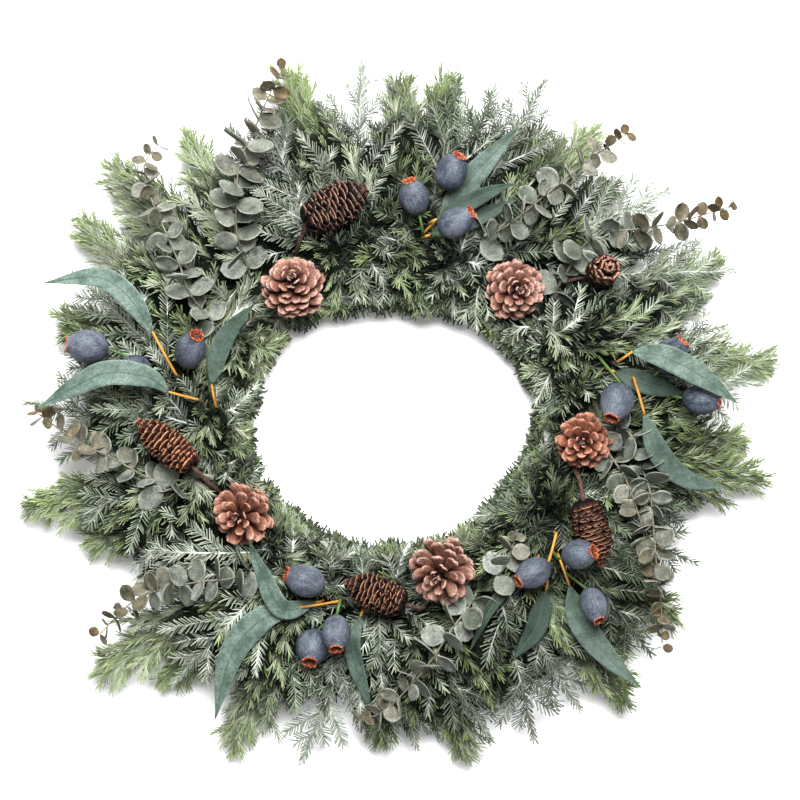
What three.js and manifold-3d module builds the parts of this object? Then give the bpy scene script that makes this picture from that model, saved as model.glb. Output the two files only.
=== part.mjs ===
// Fresh evergreen wreath: a twisted vine ring that carries pine cones, berry picks, eucalyptus,
// spruce and cedar. Millimetres, +Z up; the wreath lies on its back with the ring centre near x = y = 0.
import * as THREE from 'three';
import Module from 'manifold-3d';

const wasm = await Module();
wasm.setup();

// ---------- driving dimensions ----------
const GAP = 0.3;                  // clearance between a stem and its socket, a berry and its stem
const SLIVER = 0.01;              // edges shorter than this, left by a cut, are closed up
const CLEAR = 0.5;                // least distance kept between two different pieces

const RING_RADIUS = 137;          // centreline of the vine ring
const RING_HEIGHT = 12;           // height of that centreline
const VINE_CREST = 19;            // centreline to the back of a vine
const VINE_GROOVE = 15;           // centreline to the groove between two vines
const VINES = 5;
const VINE_TURNS = 3;             // turns of the twist round the whole ring
const RING_STEPS = 50;

const ROOT_RADIUS = 2.8;          // stub of a stem that is pushed into the ring
const ROOT_INNER = 7;             // where the stub ends, measured from the ring's centreline
const ROOT_OUTER = 25;            // where the stub ends outside the ring

const CONE_BASE = 36;             // height of a round cone's base
const CONE_ROWS = 5;
const CONE_COLUMNS = 8;
const CONE_SIZE = 55;             // spread for which the scale rows below are written
const SHINGLE_ROWS = 7;
const SHINGLES = 5;               // scales in a row of a long cone

const BERRY_RADIUS = 13.5;
const BERRY_HALF = 15.5;          // half its length, crown included
const BERRY_SIDES = 7;

const LEAF_THICK = 1.0;
const ROUND_LEAF_THICK = 1.8;     // at its middle
const ROUND_LEAF_SIDES = 7;

const NEEDLE = { spruce: 10.5, cedar: 8 };
const NEEDLE_ANGLE = { spruce: 58, cedar: 32 };
const TWIG_ANGLE = { spruce: 52, cedar: 38 };
const NEEDLE_BASE = 3;            // length of stem that one whorl of needles takes

const UP = new THREE.Vector3(0, 0, 1);
const RAD = Math.PI / 180;

// ---------- small helpers ----------
function seeded(seed) {
  let state = seed >>> 0;
  return () => {
    state = (state + 0x6D2B79F5) >>> 0;
    let t = state;
    t = Math.imul(t ^ (t >>> 15), t | 1);
    t ^= t + Math.imul(t ^ (t >>> 7), t | 61);
    return ((t ^ (t >>> 14)) >>> 0) / 4294967296;
  };
}

const vec = (x, y, z) => new THREE.Vector3(x, y, z);
const at = (base, ...terms) => {
  const point = base.clone();
  for (const [direction, amount] of terms) point.addScaledVector(direction, amount);
  return point;
};
const mix = (a, b, t) => a + (b - a) * t;

// Direction square to the ring's centreline: outward at lean 0, straight up at lean 90.
function ringNormal(degrees, lean) {
  const flat = Math.cos(lean * RAD);
  return vec(Math.cos(degrees * RAD) * flat, Math.sin(degrees * RAD) * flat, Math.sin(lean * RAD));
}

function ringCentre(degrees) {
  return vec(RING_RADIUS * Math.cos(degrees * RAD), RING_RADIUS * Math.sin(degrees * RAD), RING_HEIGHT);
}

// Frame along a stem: side is level, top points up as far as the stem allows.
function frameOf(tangent, roll = 0) {
  const side = new THREE.Vector3().crossVectors(UP, tangent);
  if (side.lengthSq() < 1e-6) side.set(1, 0, 0);
  side.normalize();
  const top = new THREE.Vector3().crossVectors(tangent, side).normalize();
  if (roll) {
    side.applyAxisAngle(tangent, roll * RAD);
    top.applyAxisAngle(tangent, roll * RAD);
  }
  return { tangent, side, top };
}

const around = (frame, degrees) => at(vec(0, 0, 0),
  [frame.side, Math.cos(degrees * RAD)], [frame.top, Math.sin(degrees * RAD)]);

// ---------- closed faceted bodies ----------
class Facets {
  constructor() {
    this.points = [];
    this.triangles = [];
  }

  add(point) {
    return this.points.push(point) - 1;
  }

  // A ring of corners, counter-clockwise about the frame's tangent; each offset is [side, top].
  section(centre, frame, offsets) {
    return offsets.map(([u, v]) => this.add(at(centre, [frame.side, u], [frame.top, v])));
  }

  // Faces between two sections. grow(k, corners) may fill side k itself and then returns true.
  bridge(near, far, grow = () => false) {
    const n = near.length;
    for (let k = 0; k < n; k++) {
      const [a, b, c, d] = [near[k], near[(k + 1) % n], far[(k + 1) % n], far[k]];
      if (!grow(k, [a, b, c, d])) this.triangles.push([a, b, c], [a, c, d]);
    }
  }

  capStart(section) {
    for (let k = 1; k + 1 < section.length; k++) this.triangles.push([section[0], section[k + 1], section[k]]);
  }

  capEnd(section) {
    for (let k = 1; k + 1 < section.length; k++) this.triangles.push([section[0], section[k], section[k + 1]]);
  }

  // Closes a ring of corners, seen counter-clockwise from outside, with a point.
  spike(corners, apex) {
    const tip = this.add(apex);
    corners.forEach((corner, k) => this.triangles.push([corner, corners[(k + 1) % corners.length], tip]));
  }

  solid() {
    const vertProperties = new Float32Array(this.points.flatMap((p) => [p.x, p.y, p.z]));
    const triVerts = new Uint32Array(this.triangles.flat());
    return new wasm.Manifold(new wasm.Mesh({ numProp: 3, vertProperties, triVerts }));
  }
}

const polygon = (radius, sides, phase = 90) => Array.from({ length: sides }, (_, k) => {
  const angle = (phase + (360 * k) / sides) * RAD;
  return [radius * Math.cos(angle), radius * Math.sin(angle)];
});

// One body out of many; a scrap that the cuts leave loose is dropped.
function join(solids) {
  const parts = wasm.Manifold.union(solids).decompose();
  const volumes = parts.map((part) => part.volume());
  return parts[volumes.indexOf(Math.max(...volumes))];
}

// A straight rod of few sides from one point to another.
function rod(from, to, radius, sides = 3, endRadius = radius) {
  const frame = frameOf(new THREE.Vector3().subVectors(to, from).normalize());
  const body = new Facets();
  const near = body.section(from, frame, polygon(radius, sides));
  const far = body.section(to, frame, polygon(endRadius, sides));
  body.capStart(near);
  body.bridge(near, far);
  body.capEnd(far);
  return body.solid();
}

// A bent rod along a curve, with a section at each of the given shares of its length.
function stemThrough(curve, shares, radius, endRadius, sides = 4) {
  const body = new Facets();
  let last = null;
  for (const t of shares) {
    const frame = frameOf(curve.getTangentAt(t));
    const section = body.section(curve.getPointAt(t), frame, polygon(mix(radius, endRadius, t), sides));
    if (last) body.bridge(last, section);
    else body.capStart(section);
    last = section;
  }
  body.capEnd(last);
  return body.solid();
}

function stem(curve, steps, radius, endRadius, sides = 4) {
  const shares = Array.from({ length: steps + 1 }, (_, i) => i / steps);
  return stemThrough(curve, shares, radius, endRadius, sides);
}

// ---------- which space is taken ----------
// Each piece claims capsules, so that the next one can be bent or trimmed clear of it.
function segmentGap(p, q) {
  const d1 = new THREE.Vector3().subVectors(p.b, p.a);
  const d2 = new THREE.Vector3().subVectors(q.b, q.a);
  const r = new THREE.Vector3().subVectors(p.a, q.a);
  const a = d1.dot(d1);
  const e = d2.dot(d2);
  const f = d2.dot(r);
  const b = d1.dot(d2);
  const c = d1.dot(r);
  const denominator = a * e - b * b;
  let s = denominator > 1e-9 ? THREE.MathUtils.clamp((b * f - c * e) / denominator, 0, 1) : 0;
  let t = e > 1e-9 ? (b * s + f) / e : 0;
  if (t < 0 || t > 1) {
    t = THREE.MathUtils.clamp(t, 0, 1);
    s = a > 1e-9 ? THREE.MathUtils.clamp((b * t - c) / a, 0, 1) : 0;
  }
  return at(p.a, [d1, s]).distanceTo(at(q.a, [d2, t])) - p.radius - q.radius;
}

const capsule = (a, b, radius) => ({ a, b, radius });

function ringGap({ a, b, radius }) {
  let least = Infinity;
  for (let i = 0; i <= 6; i++) {
    const p = a.clone().lerp(b, i / 6);
    const flat = Math.hypot(p.x, p.y) - RING_RADIUS;
    least = Math.min(least, Math.hypot(flat, p.z - RING_HEIGHT) - VINE_CREST - radius);
  }
  return least;
}

class Space {
  constructor() {
    this.cell = 20;
    this.grid = new Map();
  }

  keys({ a, b, radius }) {
    const reach = radius + CLEAR;
    const low = a.clone().min(b).subScalar(reach).divideScalar(this.cell).floor();
    const high = a.clone().max(b).addScalar(reach).divideScalar(this.cell).floor();
    const keys = [];
    for (let x = low.x; x <= high.x; x++) {
      for (let y = low.y; y <= high.y; y++) {
        for (let z = low.z; z <= high.z; z++) keys.push(`${x},${y},${z}`);
      }
    }
    return keys;
  }

  claim(owner, capsules) {
    for (const item of capsules) {
      const entry = { ...item, owner };
      for (const key of this.keys(item)) {
        if (!this.grid.has(key)) this.grid.set(key, []);
        this.grid.get(key).push(entry);
      }
    }
  }

  // owner is "piece/part"; parts of the same piece listed in friends may touch.
  clear(capsules, friends = []) {
    return capsules.every((item) => {
      if (Math.min(item.a.z, item.b.z) - item.radius < CLEAR) return false;
      if (ringGap(item) < CLEAR) return false;
      return this.keys(item).every((key) => (this.grid.get(key) ?? []).every((other) => {
        if (friends.some((friend) => other.owner.startsWith(friend))) return true;
        return segmentGap(item, other) > CLEAR;
      }));
    });
  }
}

const space = new Space();

function capsulesAlong(curve, radius, from = 0, to = 1, steps = 8) {
  const list = [];
  for (let i = 0; i < steps; i++) {
    const a = curve.getPointAt(mix(from, to, i / steps));
    const b = curve.getPointAt(mix(from, to, (i + 1) / steps));
    list.push(capsule(a, b, radius));
  }
  return list;
}

// ---------- roots in the ring ----------
const sockets = [];

function rootOf(degrees, lean) {
  const normal = ringNormal(degrees, lean);
  const centre = ringCentre(degrees);
  const inner = at(centre, [normal, ROOT_INNER]);
  const outer = at(centre, [normal, ROOT_OUTER]);
  return { normal, inner, outer };
}

function drill(inner, outer, radius, sides = 3) {
  const axis = new THREE.Vector3().subVectors(outer, inner).normalize();
  const wide = radius + GAP / Math.cos(Math.PI / sides);
  sockets.push(rod(at(inner, [axis, -GAP]), outer, wide, sides));
}

function rootStub(name, root) {
  drill(root.inner, root.outer, ROOT_RADIUS);
  space.claim(`${name}/root`, [capsule(root.inner, root.outer, ROOT_RADIUS)]);
  return rod(root.inner, root.outer, ROOT_RADIUS);
}

// ---------- vine ring ----------
function vineRing() {
  const body = new Facets();
  const corners = VINES * 2;
  const sections = [];
  for (let i = 0; i < RING_STEPS; i++) {
    const degrees = (360 * i) / RING_STEPS;
    const outward = ringNormal(degrees, 0);
    const centre = ringCentre(degrees);
    const twist = (VINE_TURNS * 360 * i) / RING_STEPS;
    const section = [];
    for (let k = 0; k < corners; k++) {
      const angle = ((360 * k) / corners + twist) * RAD;
      const reach = k % 2 ? VINE_GROOVE : VINE_CREST;
      const point = at(centre, [outward, reach * Math.cos(angle)], [UP, -reach * Math.sin(angle)]);
      point.z = Math.max(0, point.z);
      section.push(body.add(point));
    }
    sections.push(section);
  }
  sections.forEach((section, i) => body.bridge(section, sections[(i + 1) % RING_STEPS]));
  return body.solid();
}

// ---------- round pine cones ----------
// Core rings [radius, height] and scale tips [reach, height, width], from the base up.
const CONE_CORE = [[9, 1], [10.5, 7], [9.5, 13], [8, 19], [6, 25], [3.5, 30]];
const CONE_TIPS = [[26, 7, 13], [27, 16, 14], [23, 25, 12], [17, 33, 9], [9.5, 39, 5.5]];
const SCALE_THICK = 2.2;

function roundCone(base, axis, spread) {
  const frame = frameOf(axis);
  const size = spread / CONE_SIZE;
  const step = 360 / CONE_COLUMNS;
  const body = new Facets();
  const spot = (degrees, reach, height) => at(base,
    [around(frame, degrees), reach * size], [axis, height * size]);
  const rings = CONE_CORE.map(([radius, height], row) => Array.from({ length: CONE_COLUMNS },
    (_, k) => body.add(spot(step * (k + row * 0.5), radius, height))));
  body.capStart(rings[0]);
  body.spike(rings[CONE_ROWS], spot(0, 0, 36));
  CONE_TIPS.forEach(([reach, height, width], row) => {
    body.bridge(rings[row], rings[row + 1], (k, corners) => {
      const angle = step * (k + row * 0.5 + 0.75);
      const across = around(frame, angle + 90);
      const centre = spot(angle, reach, height);
      const root = corners.reduce((sum, c) => sum.add(body.points[c]), vec(0, 0, 0)).divideScalar(4);
      const along = new THREE.Vector3().subVectors(centre, root).normalize();
      const thick = new THREE.Vector3().crossVectors(across, along).normalize().multiplyScalar(-1);
      if (thick.dot(axis) < 0) thick.multiplyScalar(-1);
      const [w, t] = [width * size / 2, SCALE_THICK * size / 2];
      const tip = [[-w, -t], [w, -t], [w * 0.8, t], [-w * 0.8, t]]
        .map(([u, v]) => body.add(at(centre, [across, u], [thick, v])));
      body.bridge(corners, tip);
      body.capEnd(tip);
      return true;
    });
  });
  return body.solid();
}

function roundConePiece(name, { x, y, spread, axis }) {
  const up = vec(...axis).normalize();
  const size = spread / CONE_SIZE;
  const middle = vec(x, y, CONE_BASE + 20 * size);
  const base = at(middle, [up, -20 * size]);
  const degrees = Math.atan2(base.y, base.x) / RAD;
  const toRing = new THREE.Vector3().subVectors(ringCentre(degrees), base).normalize();
  const inner = at(ringCentre(degrees), [toRing, -ROOT_INNER]);
  const outer = at(base, [up, 4]);
  drill(inner, outer, ROOT_RADIUS);
  space.claim(`${name}/body`, [
    capsule(at(base, [up, 11 * size]), at(base, [up, 15 * size]), 29.5 * size),
    capsule(at(base, [up, 15 * size]), at(base, [up, 24 * size]), 26.5 * size),
    capsule(at(base, [up, 24 * size]), at(base, [up, 31 * size]), 13 * size),
  ]);
  return join([roundCone(base, up, spread), rod(inner, outer, ROOT_RADIUS)]);
}

// ---------- long cones ----------
function longCone(base, axis, length, width) {
  const frame = frameOf(axis);
  const body = new Facets();
  const corners = SHINGLES * 2;
  const pitch = length / (SHINGLE_ROWS + 0.6);
  const half = width / 2;
  const girth = (t) => half * Math.sqrt(Math.max(0.12, Math.sin(Math.PI * Math.min(1, 0.16 + 0.76 * t))));
  let last = null;
  const ring = (row, lip) => Array.from({ length: corners }, (_, k) => {
    const even = (k + row) % 2 === 0;
    const t = (row + (lip ? 1 : 0)) / SHINGLE_ROWS;
    const radius = girth(t) - (lip ? (even ? 0 : 1.3) : 2.6);
    const along = pitch * (row + (lip ? (even ? 1.15 : 0.7) : 0.05));
    return body.add(at(base, [around(frame, (360 * k) / corners), radius], [axis, along]));
  });
  for (let row = 0; row < SHINGLE_ROWS; row++) {
    const low = ring(row, false);
    const high = ring(row, true);
    if (last) body.bridge(last, low);
    else body.capStart(low);
    body.bridge(low, high);
    last = high;
  }
  body.spike(last, at(base, [axis, length]));
  return body.solid();
}

function longConePiece(name, { from, to, width, root, via }) {
  const base = vec(...from);
  const tip = vec(...to);
  const axis = new THREE.Vector3().subVectors(tip, base).normalize();
  const length = base.distanceTo(tip);
  const start = rootOf(...root);
  const stub = rootStub(name, start);
  const curve = new THREE.CatmullRomCurve3([
    at(start.outer, [start.normal, -3]), ...via.map((p) => vec(...p)), at(base, [axis, 3])]);
  space.claim(`${name}/stalk`, capsulesAlong(curve, 2.2));
  space.claim(`${name}/body`, [capsule(at(base, [axis, width * 0.4]), at(tip, [axis, -width * 0.4]), width / 2)]);
  return join([stub, stem(curve, 5, 2.2, 2.2), longCone(base, axis, length, width)]);
}

// ---------- berries ----------
// Outline from the stem end to the crown: [radius, distance from the middle along the axis].
const BERRY_OUTLINE = [[4, -13.2], [10.8, -8], [13.5, 1.5], [10.2, 10.5], [6.4, 15.5], [4.2, 12.5]];
const BERRY_SEAT = 13.2;

function berryPiece(name, { at: place, axis }) {
  const centre = vec(...place);
  const up = vec(...axis).normalize();
  const frame = frameOf(up);
  const body = new Facets();
  let last = null;
  for (const [radius, along] of BERRY_OUTLINE) {
    const section = body.section(at(centre, [up, along]), frame, polygon(radius, BERRY_SIDES));
    if (last) body.bridge(last, section);
    else body.capStart(section);
    last = section;
  }
  body.capEnd(last);
  const swell = BERRY_HALF - BERRY_RADIUS;
  space.claim(`${name}/body`, [capsule(at(centre, [up, -swell]), at(centre, [up, swell]), BERRY_RADIUS)]);
  return body.solid();
}

// ---------- long leaves ----------
// Half width along a leaf, as a share of its full half width.
const LEAF_OUTLINE = [[0, 0.14], [0.1, 0.66], [0.3, 1], [0.55, 0.9], [0.8, 0.5], [1, 0.06]];

function leafBlade(curve, width, roll, from) {
  const body = new Facets();
  let last = null;
  for (const [share, girth] of LEAF_OUTLINE) {
    const t = mix(from, 1, share);
    const frame = frameOf(curve.getTangentAt(t), roll);
    const w = Math.max(0.6, (girth * width) / 2);
    const h = (share < 0.01 ? 1.4 : LEAF_THICK) / 2;
    const section = body.section(curve.getPointAt(t), frame, [[w, -h], [w, h], [-w, h], [-w, -h]]);
    if (last) body.bridge(last, section);
    else body.capStart(section);
    last = section;
  }
  body.capEnd(last);
  return body.solid();
}

function leafCapsules(curve, width, roll, from) {
  const list = [];
  const lines = 5;
  for (let i = 0; i < 10; i++) {
    const [s, e] = [i / 10, (i + 1) / 10];
    const half = (width / 2) * Math.sqrt(Math.max(0.04, Math.sin(Math.PI * Math.pow((s + e) / 2, 0.75))));
    for (let k = 0; k < lines; k++) {
      const offset = (k / (lines - 1) - 0.5) * 2 * Math.max(0, half - 1.6);
      const ends = [s, e].map((share) => {
        const t = mix(from, 1, share);
        return at(curve.getPointAt(t), [frameOf(curve.getTangentAt(t), roll).side, offset]);
      });
      list.push(capsule(ends[0], ends[1], Math.max(1, Math.min(2.2, half / 3))));
    }
  }
  return list;
}

// ---------- berry picks ----------
// Bends the middle of a path until it is clear of what already stands there, trying small bends first.
const BENDS = [0, 6, -6, 12, -12, 18, -18, 24, -24].flatMap((sideways) =>
  [0, 5, -5, 10, -10, 15, -15].map((lift) => [sideways, lift]))
  .sort((p, q) => Math.hypot(p[0], 1.3 * p[1]) - Math.hypot(q[0], 1.3 * q[1]));

function route(points, weights, test) {
  const chord = new THREE.Vector3().subVectors(points[points.length - 1], points[0]);
  const across = new THREE.Vector3().crossVectors(UP, chord).normalize();
  for (const [sideways, lift] of BENDS) {
    const bent = points.map((p, i) => at(p, [across, sideways * weights[i]], [UP, lift * weights[i]]));
    const curve = new THREE.CatmullRomCurve3(bent);
    if (test(curve)) return curve;
  }
  return null;
}

function pickPiece(name, { root, berries, leaves }) {
  const start = rootOf(root, 90);
  const solids = [rootStub(name, start)];
  const hub = at(start.outer, [start.normal, -3]);
  for (const [berry, { at: place, axis }] of Object.entries(berries)) {
    const up = vec(...axis).normalize();
    const end = at(vec(...place), [up, -BERRY_SEAT - GAP]);
    const last = at(end, [up, -7]);
    const middle = hub.clone().lerp(last, 0.5).add(vec(0, 0, 4));
    const friends = [`${name}/`, `${berry}/`];
    const curve = route([hub, middle, last, end], [0, 1, 0, 0], (path) => space.clear(
      capsulesAlong(path, 1.6, 0.15, 1), friends))
      ?? new THREE.CatmullRomCurve3([hub, middle, last, end]);
    space.claim(`${name}/stem`, capsulesAlong(curve, 1.6, 0.1, 0.97));
    solids.push(stem(curve, 4, 1.9, 1.7, 3));
  }
  leaves.forEach(({ base, via, tip, width, roll = 0 }) => {
    const points = [hub, vec(...base), ...via.map((p) => vec(...p)), vec(...tip)];
    const curve = new THREE.CatmullRomCurve3(points);
    const from = hub.distanceTo(points[1]) / curve.getLength();
    space.claim(`${name}/leaf`, [...leafCapsules(curve, width, roll, from), ...capsulesAlong(curve, 1.2, 0.1, from, 3)]);
    solids.push(stemThrough(curve, [0, from * 0.5, from * 1.04], 1.7, 1.5, 3), leafBlade(curve, width, roll, from));
  });
  return join(solids);
}

// ---------- eucalyptus ----------
function roundLeaf(foot, outward, normal, size) {
  const across = new THREE.Vector3().crossVectors(normal, outward).normalize();
  const middle = at(foot, [outward, size / 2 - 1]);
  const body = new Facets();
  const rim = polygon(size / 2, ROUND_LEAF_SIDES, 0)
    .map(([u, v]) => body.add(at(middle, [outward, u], [across, v * 0.96])));
  body.spike(rim, at(middle, [normal, ROUND_LEAF_THICK / 2]));
  body.spike([...rim].reverse(), at(middle, [normal, -ROUND_LEAF_THICK / 2]));
  const reach = size / 2 - 2;
  const capsules = [-0.8, -0.4, 0, 0.4, 0.8].map((share) => {
    const half = Math.sqrt(1 - share * share) * reach;
    const centre = at(middle, [across, share * reach]);
    return capsule(at(centre, [outward, -half]), at(centre, [outward, half]), 1.6);
  });
  return { body, capsules };
}

// Places of the leaf pairs along a stem, closer together toward its tip.
function leafPairs(length) {
  const list = [];
  for (let along = 28; along < length - 3; along += mix(28, 17, along / length)) list.push(along / length);
  return list;
}

const LEAF_TILTS = [0, 18, -18, 36, -36, 55, -55];

function eucalyptusPiece(name, { root, branches, seed }) {
  const random = seeded(seed);
  const start = rootOf(...root);
  const solids = [rootStub(name, start)];
  const hub = at(start.outer, [start.normal, -3]);
  branches.forEach(({ path, leafSize }, branch) => {
    const points = [hub, ...path.map((p) => vec(...p))];
    const weights = points.map((_, i) => (i ? 1 : 0));
    const curve = route(points, weights, (bent) => space.clear(capsulesAlong(bent, 1.6, 0.12, 1, 12), [`${name}/`]))
      ?? new THREE.CatmullRomCurve3(points);
    space.claim(`${name}/stem${branch}`, capsulesAlong(curve, 1.5, 0.05, 1, 12));
    const pairs = leafPairs(curve.getLength());
    solids.push(stemThrough(curve, [0, 0.06, ...pairs, 1], 1.7, 0.9, 3));
    for (const [pair, t] of pairs.entries()) {
      const frame = frameOf(curve.getTangentAt(t));
      const size = mix(leafSize, 9, Math.pow(t, 1.6)) * mix(0.92, 1.08, random());
      const roll = (pair % 2 ? 58 : 6) + 14 * (random() - 0.5);
      const turn = 0.7 * (random() - 0.5);
      for (const sign of [1, -1]) {
        for (const tilt of LEAF_TILTS) {
          const outward = around(frame, (sign > 0 ? 0 : 180) + (roll + tilt) * sign);
          const lean = at(outward, [frame.tangent, pair % 2 ? 0.85 : 0.42]).normalize();
          const across = new THREE.Vector3().crossVectors(UP, lean).normalize().applyAxisAngle(lean, turn);
          const face = new THREE.Vector3().crossVectors(lean, across);
          const { body, capsules } = roundLeaf(curve.getPointAt(t), lean, face, size);
          if (!space.clear(capsules, [`${name}/stem${branch}`])) continue;
          space.claim(`${name}/leaf`, capsules);
          solids.push(body.solid());
          break;
        }
      }
    }
  });
  return join(solids);
}

// ---------- needle sprays ----------
// Grows a needle from one side of a section, if nothing is in its way.
function needle(body, corners, frame, degrees, slant, length, friends, owner) {
  const foot = corners.reduce((sum, c) => sum.add(body.points[c]), vec(0, 0, 0)).divideScalar(corners.length);
  const direction = at(around(frame, degrees).multiplyScalar(Math.sin(slant * RAD)),
    [frame.tangent, Math.cos(slant * RAD)]);
  const apex = at(foot, [direction, length]);
  const claim = [capsule(at(foot, [direction, 2.2]), apex, 0.35)];
  if (!space.clear(claim, friends)) return false;
  space.claim(owner, claim);
  body.spike(corners, apex);
  return true;
}

const FACETS = [150, 270, 30];    // which way the three sides of a stem look, from level side to top

function whorl(body, near, far, frame, kind, turn, friends, owner) {
  body.bridge(near, far, (side, corners) => needle(body, corners, frame,
    FACETS[side] + turn, NEEDLE_ANGLE[kind], NEEDLE[kind], friends, owner));
}

// A side twig that grows out of one half of a facet and carries one whorl near its end.
function twig(body, corners, direction, length, kind, turn, friends, owner) {
  const foot = corners.reduce((sum, c) => sum.add(body.points[c]), vec(0, 0, 0)).divideScalar(3);
  const end = at(foot, [direction, length]);
  const claim = [capsule(at(foot, [direction, 4]), end, 1.1)];
  if (!space.clear(claim, friends)) return false;
  space.claim(owner, claim);
  const frame = frameOf(direction);
  const arm = new THREE.Vector3().subVectors(body.points[corners[0]], foot);
  const phase = Math.atan2(arm.dot(frame.top), arm.dot(frame.side)) / RAD;
  const ring = (along, radius, spin = phase) => body.section(at(foot, [direction, along]), frame,
    polygon(radius, 3, spin));
  const first = ring(length * 0.62, 1.15);
  body.bridge(corners, first);
  const second = ring(length * 0.62 + NEEDLE_BASE, 1.0);
  body.bridge(first, second, (side, quad) => needle(body, quad, frame, phase + 60 + 120 * side + turn,
    NEEDLE_ANGLE[kind], NEEDLE[kind] * 0.95, [owner], `${owner}n`));
  body.spike(second, end);
  return true;
}

function spray(name, index, curve, kind, stations, random) {
  const body = new Facets();
  const length = curve.getLength();
  const owner = `${name}/stem${index}`;
  const girth = (t) => mix(2.0, 1.15, t);
  const frameAt = (t) => frameOf(curve.getTangentAt(t));
  const section = (t) => body.section(curve.getPointAt(t), frameAt(t), polygon(girth(t), 3));
  let last = section(0);
  body.capStart(last);
  stations.forEach((station, i) => {
    const t = station.at;
    const near = section(t);
    body.bridge(last, near);
    const far = section(Math.min(0.985, t + NEEDLE_BASE / length));
    const frame = frameAt(t);
    const turn = (i % 2 ? 24 : -24) + 16 * (random() - 0.5);
    if (station.twigs) {
      body.bridge(near, far, (side, [a, b, c, d]) => {
        if (side === 1) {
          return needle(body, [a, b, c, d], frame, FACETS[side] + turn, NEEDLE_ANGLE[kind], NEEDLE[kind],
            [owner], `${owner}n`);
        }
        const level = side === 0 ? 172 : 8;
        const slant = TWIG_ANGLE[kind] * mix(0.88, 1.12, random());
        const reach = station.twigs * mix(0.85, 1.15, random());
        for (const [share, rise] of [[1, 0], [1, 16], [1, -16], [0.7, 8], [0.7, -14], [0.45, 0]]) {
          const direction = at(around(frame, level + (side === 0 ? -rise : rise))
            .multiplyScalar(Math.sin(slant * RAD)), [frame.tangent, Math.cos(slant * RAD)]);
          const grown = twig(body, [a, b, c], direction, reach * share, kind, turn, [owner],
            `${name}/twig${index}_${i}_${side}`);
          if (!grown) continue;
          body.triangles.push([a, c, d]);
          return true;
        }
        return false;
      });
    } else {
      whorl(body, near, far, frame, kind, turn, [owner], `${owner}n`);
    }
    last = far;
  });
  body.spike(last, curve.getPointAt(1));
  return body.solid();
}

// Stations along a spray: whorls of needles with side twigs between them.
function stationsFor(length, kind, inner) {
  const list = [];
  const start = Math.min(26, length * 0.3);
  const pitch = inner ? 17 : 23;
  const count = Math.max(2, Math.floor((length - start - 8) / pitch));
  for (let i = 0; i < count; i++) {
    const along = start + (length - start - 8) * ((i + 0.15) / (count - 0.15));
    const twigs = i % 2 === (inner ? 1 : 0) && i < count - 1;
    const reach = Math.min(kind === 'cedar' ? 40 : 34, Math.max(16, (length - along) * 0.42));
    list.push({ at: along / length, twigs: twigs ? reach : 0 });
  }
  return list;
}

const LEAN = { spruce: 78, cedar: 18 };
const TIP_HEIGHT = { spruce: 36, cedar: 21 };
const MIDDLE_HEIGHT = { spruce: 50, cedar: 27 };

function bunchPiece(name, { kind, root, tips, inner = [], seed }) {
  const random = seeded(seed);
  const start = rootOf(root, LEAN[kind]);
  const solids = [rootStub(name, start)];
  const hub = at(start.outer, [start.normal, -4]);
  [...tips, ...inner].forEach(([degrees, radius], index) => {
    const isInner = index >= tips.length;
    const tipHeight = isInner ? 30 : TIP_HEIGHT[kind] + 8 * (random() - 0.5);
    const tip = ringNormal(degrees, 0).multiplyScalar(radius).setZ(tipHeight);
    const middle = hub.clone().lerp(tip, 0.45).setZ(isInner ? 44 : MIDDLE_HEIGHT[kind] + 4 * (random() - 0.5));
    const bend = hub.clone().lerp(tip, 0.14).setZ(mix(hub.z, middle.z, 0.55));
    const test = (path) => space.clear(capsulesAlong(path, 2.0, 0.16, 1, 12), [`${name}/root`, `${name}/stem`]);
    const curve = route([hub, bend, middle, tip], [0, 0.5, 1, 0.1], test)
      ?? route([hub, bend, middle, tip], [0, 0.5, 1, 0.8], test);
    if (!curve) return;
    space.claim(`${name}/stem${index}`, capsulesAlong(curve, 1.8, 0.04, 1, 12));
    sprays.push({ name, index, curve, kind, isInner, random, solids });
  });
  return solids;
}

// ---------- layout ----------
const ROUND_CONES = {
  pine_cone_a: { x: -80, y: 110, spread: 55, axis: [0, 0.25, 1] },
  pine_cone_b: { x: 98, y: 106, spread: 51, axis: [0.05, 0.12, 1] },
  pine_cone_c: { x: 152, y: -15, spread: 46, axis: [-0.1, -0.05, 1] },
  pine_cone_d: { x: 38, y: -120, spread: 57, axis: [-0.25, -0.3, 1] },
  pine_cone_e: { x: -121, y: -74, spread: 52, axis: [-0.4, 0.05, 1] },
};

// root is [place round the ring, lean], both in degrees.
const LONG_CONES = {
  long_cone_a: { from: [-69, 160, 60], to: [-20, 186, 64], width: 33, root: [121, 32], via: [[-76, 141, 42]] },
  long_cone_b: { from: [163, 118, 44], to: [178, 128, 87], width: 27, root: [41, 20], via: [[136, 112, 34]] },
  long_cone_c: { from: [152, -64, 56], to: [166, -115, 57], width: 26, root: [-13, 58], via: [[149, -46, 45]] },
  long_cone_d: { from: [8, -145, 58], to: [-38, -127, 62], width: 28, root: [-80, 50], via: [[22, -149, 45]] },
  long_cone_e: { from: [-160, -35, 58], to: [-204, 2, 62], width: 26, root: [-157, 45], via: [[-146, -50, 44]] },
};

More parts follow.
